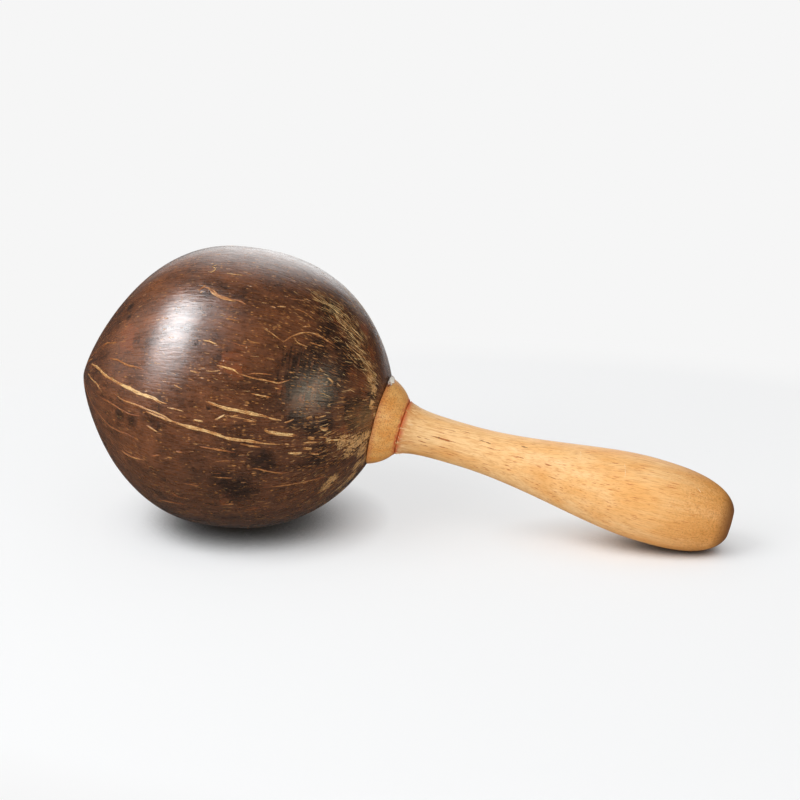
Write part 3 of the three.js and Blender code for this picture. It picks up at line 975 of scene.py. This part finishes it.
into_shell = shell_place.inverted()
shell_axis = shell_place.to_3x3() @ Vector((1, 0, 0))
gold_line = eased([shell_spot(pixel) for pixel in gold_arc], 2 * mm)


def fleck_rule(place, normal):
    own = into_shell @ place
    along = own.x / shell_section(own.x)[0]
    around = math.atan2(own.z, own.y)
    girth = Vector((0, math.cos(around), math.sin(around)))
    patchy = 0.5 + noise.noise(Vector((own.x / patch_size, 0, 0)) + 3 * girth)
    share = 0.25 + 0.5 * max(0, patchy)
    share += 0.9 * max(0, min(1, (along + 0.1) / 0.7)) * max(0, patchy)
    share += 0.45 * max(0, min(1, -own.z / low_depth))
    band = math.exp(-((along - heel_band) / heel_band_width) ** 2)
    broken_band = max(0, 0.35 + 1.5 * noise.noise(Vector((along * 6, 0, 0)) + 5 * girth))
    share += 2.2 * band * broken_band
    reach = 1 + 0.9 * band
    away = min((place - point).length for point in gold_line)
    if away < 2 * gold_radius:
        share += 6 * math.exp(-(away / gold_radius) ** 2)
        reach += 1.3 * math.exp(-(away / gold_radius) ** 2)
    if along > 0.93:
        share = 0
    grain = (shell_axis - normal * shell_axis.dot(normal)).normalized()
    return share, reach, grain


skin = shell_body("skin", 0, skin_sides, skin_rings, shell_finish, shell_place, dent_share)
flecks = sown(
    "husk_flecks", skin.data, fleck_rule, Density=fleck_density, Length=fleck_length,
    Width=fleck_width, Height=fleck_height, Ragged=fleck_ragged, Seed=fleck_seed,
    Finish=fibre_finish,
)
bpy.data.objects.remove(skin)
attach(flecks, "shaker")

# Collar
# A half-round ring turned from a redder hardwood and glued to the shell. Its back is coved to
# the shell, its front ends in a small lip at the groove, and dark glue fills the joint.

collar_sides = 128
seat_sides, seat_rings = 160, 120
collar_length = 8.6 * mm
collar_rim_radius = 16.1 * mm
collar_front_radius = 10.2 * mm
collar_lip = 0.7 * mm
collar_turn = (0.4, 0.71)
collar_overrun = 5 * mm
collar_steps = 28


def curve_through(corners, steps):
    """Points of the Bezier curve with these corners, along and out."""
    points = []
    for step in range(steps + 1):
        level = [Vector(corner) for corner in corners]
        while len(level) > 1:
            level = [a.lerp(b, step / steps) for a, b in zip(level, level[1:])]
        points.append(tuple(level[0]))
    return points


# Turned hardwood: fine even grain in orange and straw, with tiny dark pores, oiled to a satin
collar_finish, paint, surface = new_finish(
    "oiled_collar_wood",
    {"Roughness": 0.42, "IOR": 1.5, "Coat Weight": 0.3, "Coat Roughness": 0.3},
)
collar_front = -0.03 * mm
collar_back = -collar_length - collar_overrun
collar_outline = [
    (collar_back, tenon_radius + seat_gap),
    (collar_front, tenon_radius + seat_gap),
    (collar_front, collar_front_radius - collar_lip),
    *curve_through([
        (collar_front, collar_front_radius - collar_lip),
        (collar_front, collar_front_radius),
        (collar_front - collar_lip, collar_front_radius + collar_lip * 0.6),
    ], 5)[1:],
    *curve_through([
        (collar_front - collar_lip, collar_front_radius + collar_lip * 0.6),
        (
            -collar_length * collar_turn[0],
            collar_front_radius + (collar_rim_radius - collar_front_radius) * collar_turn[1],
        ),
        (-collar_length, collar_rim_radius),
    ], collar_steps)[1:],
    (collar_back, collar_rim_radius),
    (collar_back, tenon_radius + seat_gap),
]
collar = turned("wooden_collar", collar_outline, collar_sides, collar_finish, handle_place)
seat = shell_body("seat", -seat_gap * 0.2, seat_sides, seat_rings, collar_finish, shell_place)
cut_by(collar, seat)

collar_orange = linear("#e59a42")
collar_straw = linear("#f0ba6c")
collar_pore = linear("#7c4a20")
collar_speck = linear("#b06a2a")
collar_stain = linear("#c85a2c")
seam_reach = 2.2 * mm
collar_cloud_size, collar_cloud_height = 7, 2.6
seam = collar.data.attributes.new("seam", "FLOAT", "POINT")
for vertex in collar.data.vertices:
    away = shell_surface.find_nearest(vertex.co)[3]
    seam.data[vertex.index].value = max(0, 1 - away / seam_reach)
own = in_frame(handle_place)
stretched = add(
    paint, "ShaderNodeMapping",
    {
        "Vector": own,
        "Scale": (1 / collar_cloud_size, 1 / collar_cloud_size, 1 / collar_cloud_height),
    },
)
cloud, dust, broken = (
    add(paint, "ShaderNodeTexNoise", {
        "Vector": vector, "Scale": scale, "Detail": detail, "Roughness": roughness
    })
    for vector, scale, detail, roughness in (
        (stretched, 1.0, 5.0, 0.6), (own, 1.9, 4.0, 0.7), (own, 0.8, 3.0, 0.5)
    )
)
share = add(paint, "ShaderNodeMapRange", {0: cloud, 1: 0.34, 2: 0.66})
dust = add(paint, "ShaderNodeMapRange", {0: dust, 1: 0.48, 2: 0.64, 4: 0.75})
pores = add(paint, "ShaderNodeTexVoronoi", {"Vector": own, "Scale": 1.3})
pore = add(paint, "ShaderNodeMapRange", {0: pores.outputs["Distance"], 1: 0.22, 2: 0.1, 4: 0.5})
place = add(paint, "ShaderNodeSeparateXYZ", {0: own})
groove = add(paint, "ShaderNodeMapRange", {0: place.outputs[0], 1: -1.1, 2: -0.35})
broken = add(paint, "ShaderNodeMapRange", {0: broken, 1: 0.35, 2: 0.6})
groove = add(paint, "ShaderNodeMath", {0: groove, 1: broken}, operation="MULTIPLY")
# Glue and dirt have bled into the wood along the shell too
layer = add(paint, "ShaderNodeAttribute", attribute_name="seam")
seam_stain = add(paint, "ShaderNodeMath", {0: layer.outputs["Fac"], 1: dust}, operation="ADD")
seam_stain = add(paint, "ShaderNodeMapRange", {0: seam_stain, 1: 0.35, 2: 1.1, 4: 0.6})
groove = add(paint, "ShaderNodeMath", {0: groove, 1: seam_stain}, operation="MAXIMUM")
colour = collar_orange
for share, tint in (
    (share, collar_straw), (dust, collar_speck), (pore, collar_pore), (groove, collar_stain)
):
    colour = add(paint, "ShaderNodeMix", {0: share, 6: colour, 7: tint}, data_type="RGBA")
paint.links.new(colour.outputs[2], surface.inputs["Base Color"])
bump = add(paint, "ShaderNodeBump", {"Strength": 0.2, "Distance": 0.1 * mm, "Height": cloud})
paint.links.new(bump.outputs[0], surface.inputs["Normal"])

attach(collar, "shaker")
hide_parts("collar")

# Glue
# White wood glue or filler that was pressed into the crevice at the top of the collar and
# wiped with a finger: an irregular matt crust over the rim.

glue_finish, paint, surface = new_finish("dried_white_glue", {"Roughness": 0.6, "IOR": 1.47})
glue_white = linear("#ece5da")
glue_shadow = linear("#c9b7a0")
glue_stain = linear("#8a5230")
glue_white_pixel, glue_white_radius = (394, 383), 3.4 * mm
glue_lump = 0.35 * mm
glue_cloud_size, glue_lump_size = 1.3 * mm, 1.4 * mm
where = add(paint, "ShaderNodeTexCoord")
cloud = add(
    paint, "ShaderNodeTexNoise",
    {"Vector": where.outputs["Object"], "Scale": 1 / glue_cloud_size, "Detail": 4.0},
)
share = add(paint, "ShaderNodeMapRange", {0: cloud, 1: 0.5, 2: 0.68})
colour = add(paint, "ShaderNodeMix", {0: share, 6: glue_white, 7: glue_shadow}, data_type="RGBA")
glue_surface = surface_of(frame["nodes"]["glue_bead"].data)
glue_direction = sight_line(glue_white_pixel)
glue_spot = glue_surface.ray_cast(camera_place, glue_direction)[0] or glue_surface.find_nearest(
    camera_place + glue_direction * camera_distance
)[0]
away = add(
    paint, "ShaderNodeVectorMath", {0: where.outputs["Object"], 1: tuple(glue_spot)},
    operation="DISTANCE",
)
edge = add(
    paint, "ShaderNodeMapRange",
    {0: cloud, 1: 0.3, 2: 0.7, 3: -0.3 * glue_white_radius, 4: 0.3 * glue_white_radius},
)
away = add(paint, "ShaderNodeMath", {0: away.outputs["Value"], 1: edge}, operation="ADD")
dirt = add(
    paint, "ShaderNodeMapRange",
    {0: away, 1: 0.8 * glue_white_radius, 2: 1.1 * glue_white_radius},
)
colour = add(paint, "ShaderNodeMix", {0: dirt, 6: colour, 7: glue_stain}, data_type="RGBA")
paint.links.new(colour.outputs[2], surface.inputs["Base Color"])
bump = add(paint, "ShaderNodeBump", {"Strength": 0.5, "Distance": 0.3 * mm, "Height": cloud})
paint.links.new(bump.outputs[0], surface.inputs["Normal"])

glue = placed("glue_crust", frame["nodes"]["glue_bead"].data.copy())
glue.data.materials.clear()
glue.data.materials.append(glue_finish)
weld = glue.modifiers.new("weld", "WELD")
weld.merge_threshold = 0.01 * mm
refine = glue.modifiers.new("refine", "SUBSURF")
refine.levels = refine.render_levels = 2
crust = plain_mesh(glue)
glue.modifiers.clear()
glue.data = crust
for vertex in crust.vertices:
    vertex.co += vertex.normal * glue_lump * noise.noise(vertex.co / glue_lump_size)
crust.shade_smooth()
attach(glue, "shaker")
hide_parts("glue_bead")

# Handle
# One stick of pale straight-grained hardwood, turned with a flared shoulder, a slim neck and a
# club grip, parted off flat at the butt. Short pores run along its grain.

handle_sides = 128
curve_steps = 40
tenon_chamfer = 1 * mm
shoulder_radius = 9.8 * mm
shoulder_chamfer = 0.5 * mm
neck_radius = 7.6 * mm
neck_at = 22.5 * mm
grip_radius = 14.9 * mm
grip_at = 89.8 * mm
grip_end_length = 31 * mm
grip_end_power = 2.65
butt_radius = 5.3 * mm
butt_edge = 0.4 * mm
flare_shares = (0.2, 0.55)
swell_shares = (0.365, 0.285)

run = grip_at - neck_at
handle_outline = [
    (tenon_end, 0),
    (tenon_end, tenon_radius - tenon_chamfer),
    (tenon_end + tenon_chamfer, tenon_radius),
    (0, tenon_radius),
    (0, shoulder_radius - shoulder_chamfer),
    *curve_through([
        (shoulder_chamfer, shoulder_radius),
        (neck_at * flare_shares[0], neck_radius),
        (neck_at * flare_shares[1], neck_radius),
        (neck_at, neck_radius),
    ], curve_steps),
    *curve_through([
        (neck_at, neck_radius),
        (neck_at + run * swell_shares[0], neck_radius),
        (grip_at - run * swell_shares[1], grip_radius),
        (grip_at, grip_radius),
    ], curve_steps * 2)[1:],
]
flat_angle = math.acos((butt_radius / grip_radius) ** (grip_end_power / 2))
for step in range(1, curve_steps + 1):
    turn = math.pi / 2 - flat_angle * step / curve_steps
    handle_outline.append((
        grip_at + grip_end_length * math.cos(turn) ** (2 / grip_end_power),
        grip_radius * math.sin(turn) ** (2 / grip_end_power),
    ))
handle_outline.append((handle_outline[-1][0] + butt_edge * 0.2, butt_radius - butt_edge))
handle_outline.append((handle_outline[-1][0], 0))

# Turned rubberwood, oiled: honey and straw bands along the grain, orange pores a few mm long,
# darker where hands and the end grain took up the oil
handle_finish, paint, surface = new_finish(
    "oiled_rubberwood", {"IOR": 1.5, "Coat Weight": 0.08, "Coat Roughness": 0.35}
)
handle = turned("turned_handle", handle_outline, handle_sides, handle_finish, handle_place)

wood_straw = linear("#f4c98e")
wood_honey = linear("#f2b76f")
wood_orange = linear("#e29a45")
wood_grain = linear("#d5924a")
wood_pore = linear("#bd5e1c")
wood_brown = linear("#d0872c")
wood_end = linear("#74431a")
wood_red = linear("#cf5c2a")
wood_bled = linear("#d08a4a")
stain_pixel, stain_radius = (541, 476), 8.0

wood_surface = surface_of(handle.data)
stain_spot = wood_surface.ray_cast(camera_place, sight_line(stain_pixel))[0]
stain_own = handle_place.inverted() @ stain_spot / mm

own = in_frame(handle_place)
# The stick was sawn a little off the grain
grain_way = add(
    paint, "ShaderNodeMapping",
    {"Vector": own, "Rotation": (0, math.radians(3), math.radians(-4))},
)
place = add(paint, "ShaderNodeSeparateXYZ", {0: own})


def grained(length, width):
    """Coordinates whose cells are so many mm long and wide along the grain."""
    return add(
        paint, "ShaderNodeMapping",
        {"Vector": grain_way, "Scale": (1 / length, 1 / width, 1 / width)},
    )


streaks, broad, fine, grain, comb = (
    add(paint, "ShaderNodeTexNoise", {
        "Vector": vector, "Scale": scale, "Detail": detail, "Roughness": roughness
    })
    for vector, scale, detail, roughness in (
        (grained(30, 2.2), 1.0, 6.0, 0.62), (grained(20, 8), 1.0, 3.0, 0.5),
        (own, 1.3, 5.0, 0.7), (grained(6, 0.45), 1.0, 4.0, 0.7), (grained(5, 0.8), 1.0, 2.0, 0.5),
    )
)
share = add(paint, "ShaderNodeMath", {0: streaks, 1: broad}, operation="ADD")
grip_share = add(
    paint, "ShaderNodeMapRange", {0: place.outputs[0], 1: 10.0, 2: 95.0, 3: 0.05, 4: -0.16}
)
share = add(paint, "ShaderNodeMath", {0: share, 1: grip_share}, operation="ADD")
share = add(paint, "ShaderNodeMapRange", {0: share, 1: 0.72, 2: 1.22})
# Orange clouds, one of them where the photograph shows it, and then hair-fine grain
warm = add(paint, "ShaderNodeMapRange", {0: broad, 1: 0.5, 2: 0.3, 4: 0.4})
away = add(paint, "ShaderNodeVectorMath", {0: own, 1: tuple(stain_own)}, operation="DISTANCE")
stain = add(
    paint, "ShaderNodeMapRange", {0: away.outputs["Value"], 1: stain_radius, 2: 0.0, 4: 0.6}
)
grain = add(paint, "ShaderNodeMapRange", {0: grain, 1: 0.46, 2: 0.66, 4: 0.75})
colour = wood_honey
for share, tint in (
    (share, wood_straw), (warm, wood_orange), (stain, wood_orange), (grain, wood_grain)
):
    colour = add(paint, "ShaderNodeMix", {0: share, 6: colour, 7: tint}, data_type="RGBA")
# Fine pores and then larger ones. They come in bands, and fade towards the end of the grip.
uneven = add(
    paint, "ShaderNodeVectorMath", {0: fine.outputs["Color"], "Scale": 0.5}, operation="SCALE"
)
bare = add(paint, "ShaderNodeMapRange", {0: broad, 1: 0.38, 2: 0.62, 3: 0.0, 4: 0.35})
for length, width, size, least, most in (
    (5.0, 0.5, 0.34, 0.2, 0.65), (9.0, 0.7, 0.3, 0.3, 0.95)
):
    needed = add(paint, "ShaderNodeMath", {0: bare, 1: least}, operation="ADD")
    pore, colour = dotted(
        colour, grained(length, width), uneven, needed, size, 0.45, 0.3, most, wood_pore
    )
# The grip's end, where the grain is cut across and holds more oil and dirt
end = add(paint, "ShaderNodeMapRange", {0: place.outputs[0], 1: 90.0, 2: 120.0, 4: 0.9})
rough_end = add(paint, "ShaderNodeMapRange", {0: fine, 1: 0.3, 2: 0.7, 3: 0.6, 4: 1.3})
end = add(paint, "ShaderNodeMath", {0: end, 1: rough_end}, operation="MULTIPLY")
specks = add(paint, "ShaderNodeTexVoronoi", {"Vector": own, "Scale": 1.15})
speck = add(paint, "ShaderNodeMapRange", {0: specks.outputs["Distance"], 1: 0.22, 2: 0.1})
mottled = add(paint, "ShaderNodeMapRange", {0: fine, 1: 0.5, 2: 0.66, 4: 0.4})
speck = add(paint, "ShaderNodeMath", {0: speck, 1: mottled}, operation="MAXIMUM")
speck = add(paint, "ShaderNodeMath", {0: speck, 1: end}, operation="MULTIPLY")
# The butt's edge is darker over its last few millimetres
edge = add(paint, "ShaderNodeMapRange", {0: place.outputs[0], 1: 114.5, 2: 119.0, 4: 0.85})
# The red line in the groove, which bleeds into the cut and torn grain beside it
bled = add(paint, "ShaderNodeMapRange", {0: place.outputs[0], 1: 5.5, 2: 1.0, 4: 0.75})
torn = add(paint, "ShaderNodeMapRange", {0: comb, 1: 0.5, 2: 0.58, 4: 0.85})
beside = add(paint, "ShaderNodeMapRange", {0: place.outputs[0], 1: 5.5, 2: 3.5})
torn = add(paint, "ShaderNodeMath", {0: torn, 1: beside}, operation="MULTIPLY")
comb = add(paint, "ShaderNodeMapRange", {0: comb, 1: 0.36, 2: 0.6, 3: -0.4, 4: 0.7})
groove = add(paint, "ShaderNodeMath", {0: place.outputs[0], 1: comb}, operation="SUBTRACT")
groove = add(paint, "ShaderNodeMapRange", {0: groove, 1: 1.6, 2: 0.3, 4: 0.85})
for share, tint in (
    (end, wood_brown), (speck, wood_end), (edge, wood_end), (bled, wood_bled),
    (torn, wood_straw), (groove, wood_red),
):
    colour = add(paint, "ShaderNodeMix", {0: share, 6: colour, 7: tint}, data_type="RGBA")
paint.links.new(colour.outputs[2], surface.inputs["Base Color"])
gloss = add(paint, "ShaderNodeMapRange", {0: streaks, 1: 0.3, 2: 0.7, 3: 0.42, 4: 0.52})
paint.links.new(gloss.outputs[0], surface.inputs["Roughness"])
relief = add(
    paint, "ShaderNodeMath", {0: pore, 1: -0.3, 2: streaks}, operation="MULTIPLY_ADD"
)
bump = add(paint, "ShaderNodeBump", {"Strength": 0.25, "Distance": 0.12 * mm, "Height": relief})
paint.links.new(bump.outputs[0], surface.inputs["Normal"])

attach(handle, "shaker")
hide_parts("handle")

# Wood marks
# What use and the lathe have left on the handle: a knot with an orange streak, grey streaks of
# dirt in the open grain, reddish splinters by the groove and pale scratches across the grip.

wood_mark_finish, paint, surface = new_finish("marked_wood_grain", {"Roughness": 0.5, "IOR": 1.5})
# Half width in mm, tone from 0 pale to 1 dark, and the pixels that the mark runs through
wood_marks = [
    (0.42, 0.95, [(437, 437.4), (441, 438.2)]),
    (0.26, 0.6, [(431, 435.8), (438, 437.6), (448, 440.6), (456, 442.4)]),
    (0.26, 0.8, [(479, 440), (485, 441.6), (491, 444)]),
    (0.3, 0.8, [(521, 446), (528, 448)]),
    (0.2, 0.6, [(417, 436.4), (421, 437.6)]), (0.2, 0.6, [(418, 440.4), (426, 443)]),
    (0.2, 0.62, [(420, 444), (428, 446.4)]), (0.18, 0.55, [(424, 438), (430, 440)]),
    (0.18, 0.6, [(460, 430.6), (470, 433)]), (0.18, 0.6, [(440, 428), (456, 431.6)]),
    (0.18, 0.6, [(487, 447.6), (500, 450.6)]), (0.18, 0.6, [(516, 456), (524, 458.6)]),
    (0.2, 0.6, [(545, 464), (552, 466)]), (0.18, 0.6, [(548, 476), (556, 479)]),
    (0.16, 0.05, [(580.5, 451), (581, 456), (580.5, 460)]),
    (0.12, 0.12, [(624.6, 464), (625.4, 470), (625, 477)]),
    (0.3, 0.05, [(698, 488.6), (701, 492.4)]),
]
mark_pale = linear("#f4dcb4")
mark_orange = linear("#b8621f")
mark_dark = linear("#94602f")
mark_blotch_size = 0.9 * mm
where = add(paint, "ShaderNodeTexCoord")
colour = toned(
    mark_blotch_size, 3.0, 0.5, 0.12, mark_pale, mark_orange, mark_dark, (0.05, 0.6), (0.6, 0.9)
)
paint.links.new(colour.outputs[2], surface.inputs["Base Color"])
mark_threads = [
    (half_width, tone, [
        wood_surface.ray_cast(camera_place, sight_line(pixel))[0] for pixel in pixels
    ], 0, 0, (0, 1), -0.6 * fibre_flatness * half_width)
    for half_width, tone, pixels in wood_marks
]
laid("wood_marks", wood_surface, mark_threads, wood_mark_finish, "shaker")

# Frayed grain
# Where the handle's shoulder was cut beside the groove, the grain lifted in pale splinters that
# stand side by side round the neck.

fray_seed = 3
fray_density = 1.0 / mm ** 2
fray_length, fray_width, fray_height = 2.6 * mm, 0.46 * mm, 0.16 * mm
fray_from, fray_to = 0.5 * mm, 4.4 * mm
fray_top_share = 0.3
fray_ragged = 0.1 * mm
fray_finish, paint, surface = new_finish("frayed_pale_grain", {"Roughness": 0.6, "IOR": 1.5})
fray_pale = linear("#f8deb2")
fray_tan = linear("#d59a5a")
tone = add(paint, "ShaderNodeAttribute", attribute_name="tone")
colour = add(
    paint, "ShaderNodeMix", {0: tone.outputs["Fac"], 6: fray_pale, 7: fray_tan}, data_type="RGBA"
)
paint.links.new(colour.outputs[2], surface.inputs["Base Color"])
into_handle = handle_place.inverted()


def fray_rule(place, normal):
    own = into_handle @ place
    share = 0
    if fray_from < own.x < fray_to and normal.dot(place - handle_place @ Vector((own.x, 0, 0))) > 0:
        share = 1 - (own.x - fray_from) / (fray_to - fray_from)
        share *= 1 if own.z < 0 else fray_top_share
    grain = (handle_axis - normal * handle_axis.dot(normal)).normalized()
    return share, 1, grain


frays = sown(
    "frayed_shoulder", handle.data.copy(), fray_rule, Density=fray_density, Length=fray_length,
    Width=fray_width, Height=fray_height, Ragged=fray_ragged, Seed=fray_seed, Finish=fray_finish,
)
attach(frays, "shaker")

# Seeds
# Dried round seeds, loose in the shell, which make the sound. They are hidden, and each one
# moves on its own, so each is a piece of its own: a blunt bean with a slightly ribbed coat.

seed_count = 24
seed_length = 6.4 * mm
seed_radius = 2.8 * mm
seed_taper_share = 0.07
golden_angle = math.pi * (3 - math.sqrt(5))
seed_sides, seed_steps = 24, 12
seed_ribs, seed_rib_share, seed_dent_share, seed_dent_size = 5, 0.02, 0.05, 1.2 * mm
seed_cloud_size = 2.2 * mm
seed_finish, paint, surface = new_finish("dried_seed_coat", {"Roughness": 0.48, "IOR": 1.45})
seed_tan = linear("#a67c45")
seed_brown = linear("#6f4a26")
where = add(paint, "ShaderNodeTexCoord")
cloud = add(
    paint, "ShaderNodeTexNoise",
    {
        "Vector": where.outputs["Object"], "Scale": 1 / seed_cloud_size, "Detail": 5.0,
        "Roughness": 0.6,
    },
)
share = add(paint, "ShaderNodeMapRange", {0: cloud, 1: 0.35, 2: 0.65})
colour = add(paint, "ShaderNodeMix", {0: share, 6: seed_brown, 7: seed_tan}, data_type="RGBA")
paint.links.new(colour.outputs[2], surface.inputs["Base Color"])
bump = add(paint, "ShaderNodeBump", {"Strength": 0.4, "Distance": 0.2 * mm, "Height": cloud})
paint.links.new(bump.outputs[0], surface.inputs["Normal"])

seed_outline = []
for step in range(seed_steps + 1):
    turn = math.pi * (step / seed_steps - 0.5)
    along = math.sin(turn)
    seed_outline.append((
        seed_length / 2 * along, seed_radius * (1 - seed_taper_share * along) * math.cos(turn)
    ))
for i in range(seed_count):
    node = f"seed_{i + 1:02d}"
    low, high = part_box(node)
    turned_place = (
        Matrix.Translation((low + high) / 2)
        @ Matrix.Rotation(i * golden_angle, 4, "Z")
        @ Matrix.Rotation(math.pi / 2, 4, "Z")
    )
    seed = turned(
        f"dried_{node}", seed_outline, seed_sides, seed_finish, turned_place, seed_ribs,
        seed_rib_share, seed_dent_share, seed_dent_size,
    )
    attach(seed, f"loose_{node}")
    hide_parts(node)

# Floor and light
# A pale seamless table. It is a plain pale surface near the part, where it takes the shadow,
# with a painted dark shadow where the part touches it, and turns to the photograph's even
# near-white further out. One tall soft light stands at the left, above and in front, a weak one
# at the right, and the room is white behind the part.

floor_half = 4.0
backdrop_white = linear("#f6f6f6")
floor_paper = linear("#f2f4f6")
shadow_near, shadow_far = 0.13, 0.25
shadow_share = 0.3
contact_reach = 0.022
# The colour of the painted contact shadow
painted_contact_shadow = linear("#17130f")
ambient = 0.6
mirrored_floor, mirrored_far_floor = 0.05, 0.9
mirrored_behind, mirrored_left, mirrored_round = 1.75, 0.4, 0.03

floor_mesh = bpy.data.meshes.new("table")
floor_mesh.from_pydata(
    [(-floor_half, -floor_half, 0), (floor_half, -floor_half, 0), (floor_half, floor_half, 0),
     (-floor_half, floor_half, 0)], [], [(0, 1, 2, 3)],
)
floor = placed("table", floor_mesh)
paper = bpy.data.materials.new("matt_white_paper")
floor_mesh.materials.append(paper)
paper.use_nodes = True
paint = paper.node_tree
paint.nodes.clear()
matt = add(paint, "ShaderNodeBsdfDiffuse", {"Color": floor_paper})
glow = add(paint, "ShaderNodeEmission", {"Color": backdrop_white, "Strength": 1.0})
where = add(paint, "ShaderNodeTexCoord")
centred = add(
    paint, "ShaderNodeMapping",
    {"Vector": where.outputs["Object"], "Location": (-0.02, -0.01, 0), "Scale": (0.75, 1, 1)},
)
reach = add(paint, "ShaderNodeVectorMath", {0: centred}, operation="LENGTH")
far = add(
    paint, "ShaderNodeMapRange",
    {0: reach.outputs["Value"], 1: shadow_near, 2: shadow_far}, interpolation_type="SMOOTHSTEP",
)
rays = add(paint, "ShaderNodeLightPath")
# The camera sees a part of the shadow only, as in the photograph, but all of it at the contact
contact = add(paint, "ShaderNodeAmbientOcclusion", {"Distance": contact_reach}, samples=8)
open_sky = add(
    paint, "ShaderNodeMapRange",
    {0: contact.outputs["AO"], 1: 0.3, 2: 1.0, 3: 0.0, 4: 1 - shadow_share},
)
share = add(paint, "ShaderNodeMath", {0: far, 1: open_sky}, operation="MAXIMUM")
share = add(
    paint, "ShaderNodeMath", {0: share, 1: rays.outputs["Is Camera Ray"]}, operation="MULTIPLY"
)
mixed = add(paint, "ShaderNodeMixShader", {0: share, 1: matt, 2: glow})
# Painted contact shadow: where the floor is close under the part, the camera sees a dark emission
# mixed in, by ambient occlusion
painted_shadow_share = add(paint, "ShaderNodeMapRange", {0: contact.outputs["AO"], 1: 0.42, 2: 0.1, 4: 0.9})
painted_shadow_share = add(
    paint, "ShaderNodeMath", {0: painted_shadow_share, 1: rays.outputs["Is Camera Ray"]}, operation="MULTIPLY"
)
painted_shadow = add(paint, "ShaderNodeEmission", {"Color": painted_contact_shadow})
mixed = add(paint, "ShaderNodeMixShader", {0: painted_shadow_share, 1: mixed, 2: painted_shadow})
mirrored = add(
    paint, "ShaderNodeMath",
    {0: rays.outputs["Is Glossy Ray"], 1: rays.outputs["Is Transmission Ray"]}, operation="MAXIMUM",
)
level_right = Vector((picture_right.x, picture_right.y, 0)).normalized()
level_front = Vector((towards_camera.x, towards_camera.y, 0)).normalized()


def room_way(shares):
    """A direction from its shares of right, up and front."""
    right, up, front = shares
    return (level_right * right + Vector((0, 0, 1)) * up + level_front * front).normalized()


def lit_past(tree, vector, brightness, *bounds):
    """A brightness where a place or direction is past each bound, a way with a start and end."""
    for way, start, end in bounds:
        past = add(
            tree, "ShaderNodeVectorMath", {0: vector, 1: tuple(room_way(way))},
            operation="DOT_PRODUCT",
        )
        past = add(
            tree, "ShaderNodeMapRange", {0: past.outputs["Value"], 1: start, 2: end},
            interpolation_type="SMOOTHSTEP",
        )
        brightness = add(tree, "ShaderNodeMath", {0: past, 1: brightness}, operation="MULTIPLY")
    return brightness


# What the varnish mirrors of the floor: little in front, and the bright room far behind
rightward, leftward, backward = (1, 0, 0), (-1, 0, 0), (0, 0, -1)
strength = lit_past(
    paint, where.outputs["Object"], 1.0, (backward, 0.14, 0.4), (rightward, 0.25, 0.06),
    (leftward, 0.2, 0.1),
)
strength = add(
    paint, "ShaderNodeMapRange", {0: strength, 3: mirrored_floor, 4: mirrored_far_floor}
)
dim = add(paint, "ShaderNodeEmission", {"Color": backdrop_white, "Strength": strength})
mixed = add(paint, "ShaderNodeMixShader", {0: mirrored, 1: mixed, 2: dim})
add(paint, "ShaderNodeOutputMaterial", {"Surface": mixed})

world = bpy.data.worlds.new("white_room")
bpy.context.scene.world = world
world.use_nodes = True
sky = world.node_tree
sky.nodes.clear()
rays = add(sky, "ShaderNodeLightPath")
where = add(sky, "ShaderNodeTexCoord")
# The varnish mirrors a bright wall behind the shell, a paler one at the left and dark elsewhere
wall = lit_past(
    sky, where.outputs["Generated"], mirrored_behind, (rightward, -0.5, 0.05),
    (rightward, 0.5, 0.15), (backward, 0.35, 0.85),
)
side = lit_past(
    sky, where.outputs["Generated"], mirrored_left, (rightward, -0.35, -1.0), (backward, 0.8, 0.4)
)
glance = add(sky, "ShaderNodeMath", {0: wall, 1: side}, operation="ADD")
glance = add(sky, "ShaderNodeMath", {0: glance, 1: mirrored_round}, operation="ADD")
level = add(
    sky, "ShaderNodeMix", {0: rays.outputs["Is Glossy Ray"], 2: ambient, 3: glance},
    data_type="FLOAT",
)
level = add(
    sky, "ShaderNodeMix", {0: rays.outputs["Is Camera Ray"], 2: level, 3: 1.0}, data_type="FLOAT"
)
glow = add(sky, "ShaderNodeBackground", {"Color": backdrop_white, "Strength": level})
add(sky, "ShaderNodeOutputWorld", {"Surface": glow})

# Each soft box: its width, height, power and colour, its direction and distance from the shell,
# the way its width runs, and whether it lights or is only mirrored. Directions are shares of
# right, up and front, read from what the photograph's highlights mirror.
key_run = (0.667, 0.348, 0.652)
white, cool, warm = (1, 1, 1), (0.93, 0.97, 1.0), (1.0, 0.87, 0.66)
soft_boxes = {
    "key": (0.6, 0.8, 7.2, white, (-0.62, 0.68, 0.4), 0.9, key_run, "lights"),
    "key_fringe": (0.68, 0.86, 5.6, cool, (-0.66, 0.69, 0.28), 0.9, key_run, "mirrored"),
    "key_core": (0.42, 0.56, 5.6, cool, (-0.56, 0.8, 0.2), 0.9, key_run, "mirrored"),
    "window": (0.6, 0.5, 1.6, white, (0.7, 0.3, 0.65), 1.0, (0.65, 0, -0.7), "lights"),
    "window_gloss": (0.5, 0.22, 1.1, warm, (0.8, 0.16, 0.58), 1.0, (0.58, 0, -0.8), "mirrored"),
}
for name, (width, height, power, tint, shares, distance, run, use) in soft_boxes.items():
    lamp = bpy.data.lights.new(name, "AREA")
    lamp.shape = "RECTANGLE"
    lamp.size, lamp.size_y = width, height
    lamp.energy = power
    lamp.color = tint
    way = room_way(shares)
    rise = way.cross(room_way(run)).normalized()
    holder = placed(name, lamp)
    holder.visible_glossy = use == "mirrored"
    holder.visible_diffuse = use == "lights"
    holder.matrix_world = frame_at(shell_middle + way * distance, rise.cross(way), rise, way)

bpy.context.scene.view_settings.view_transform = "Standard"
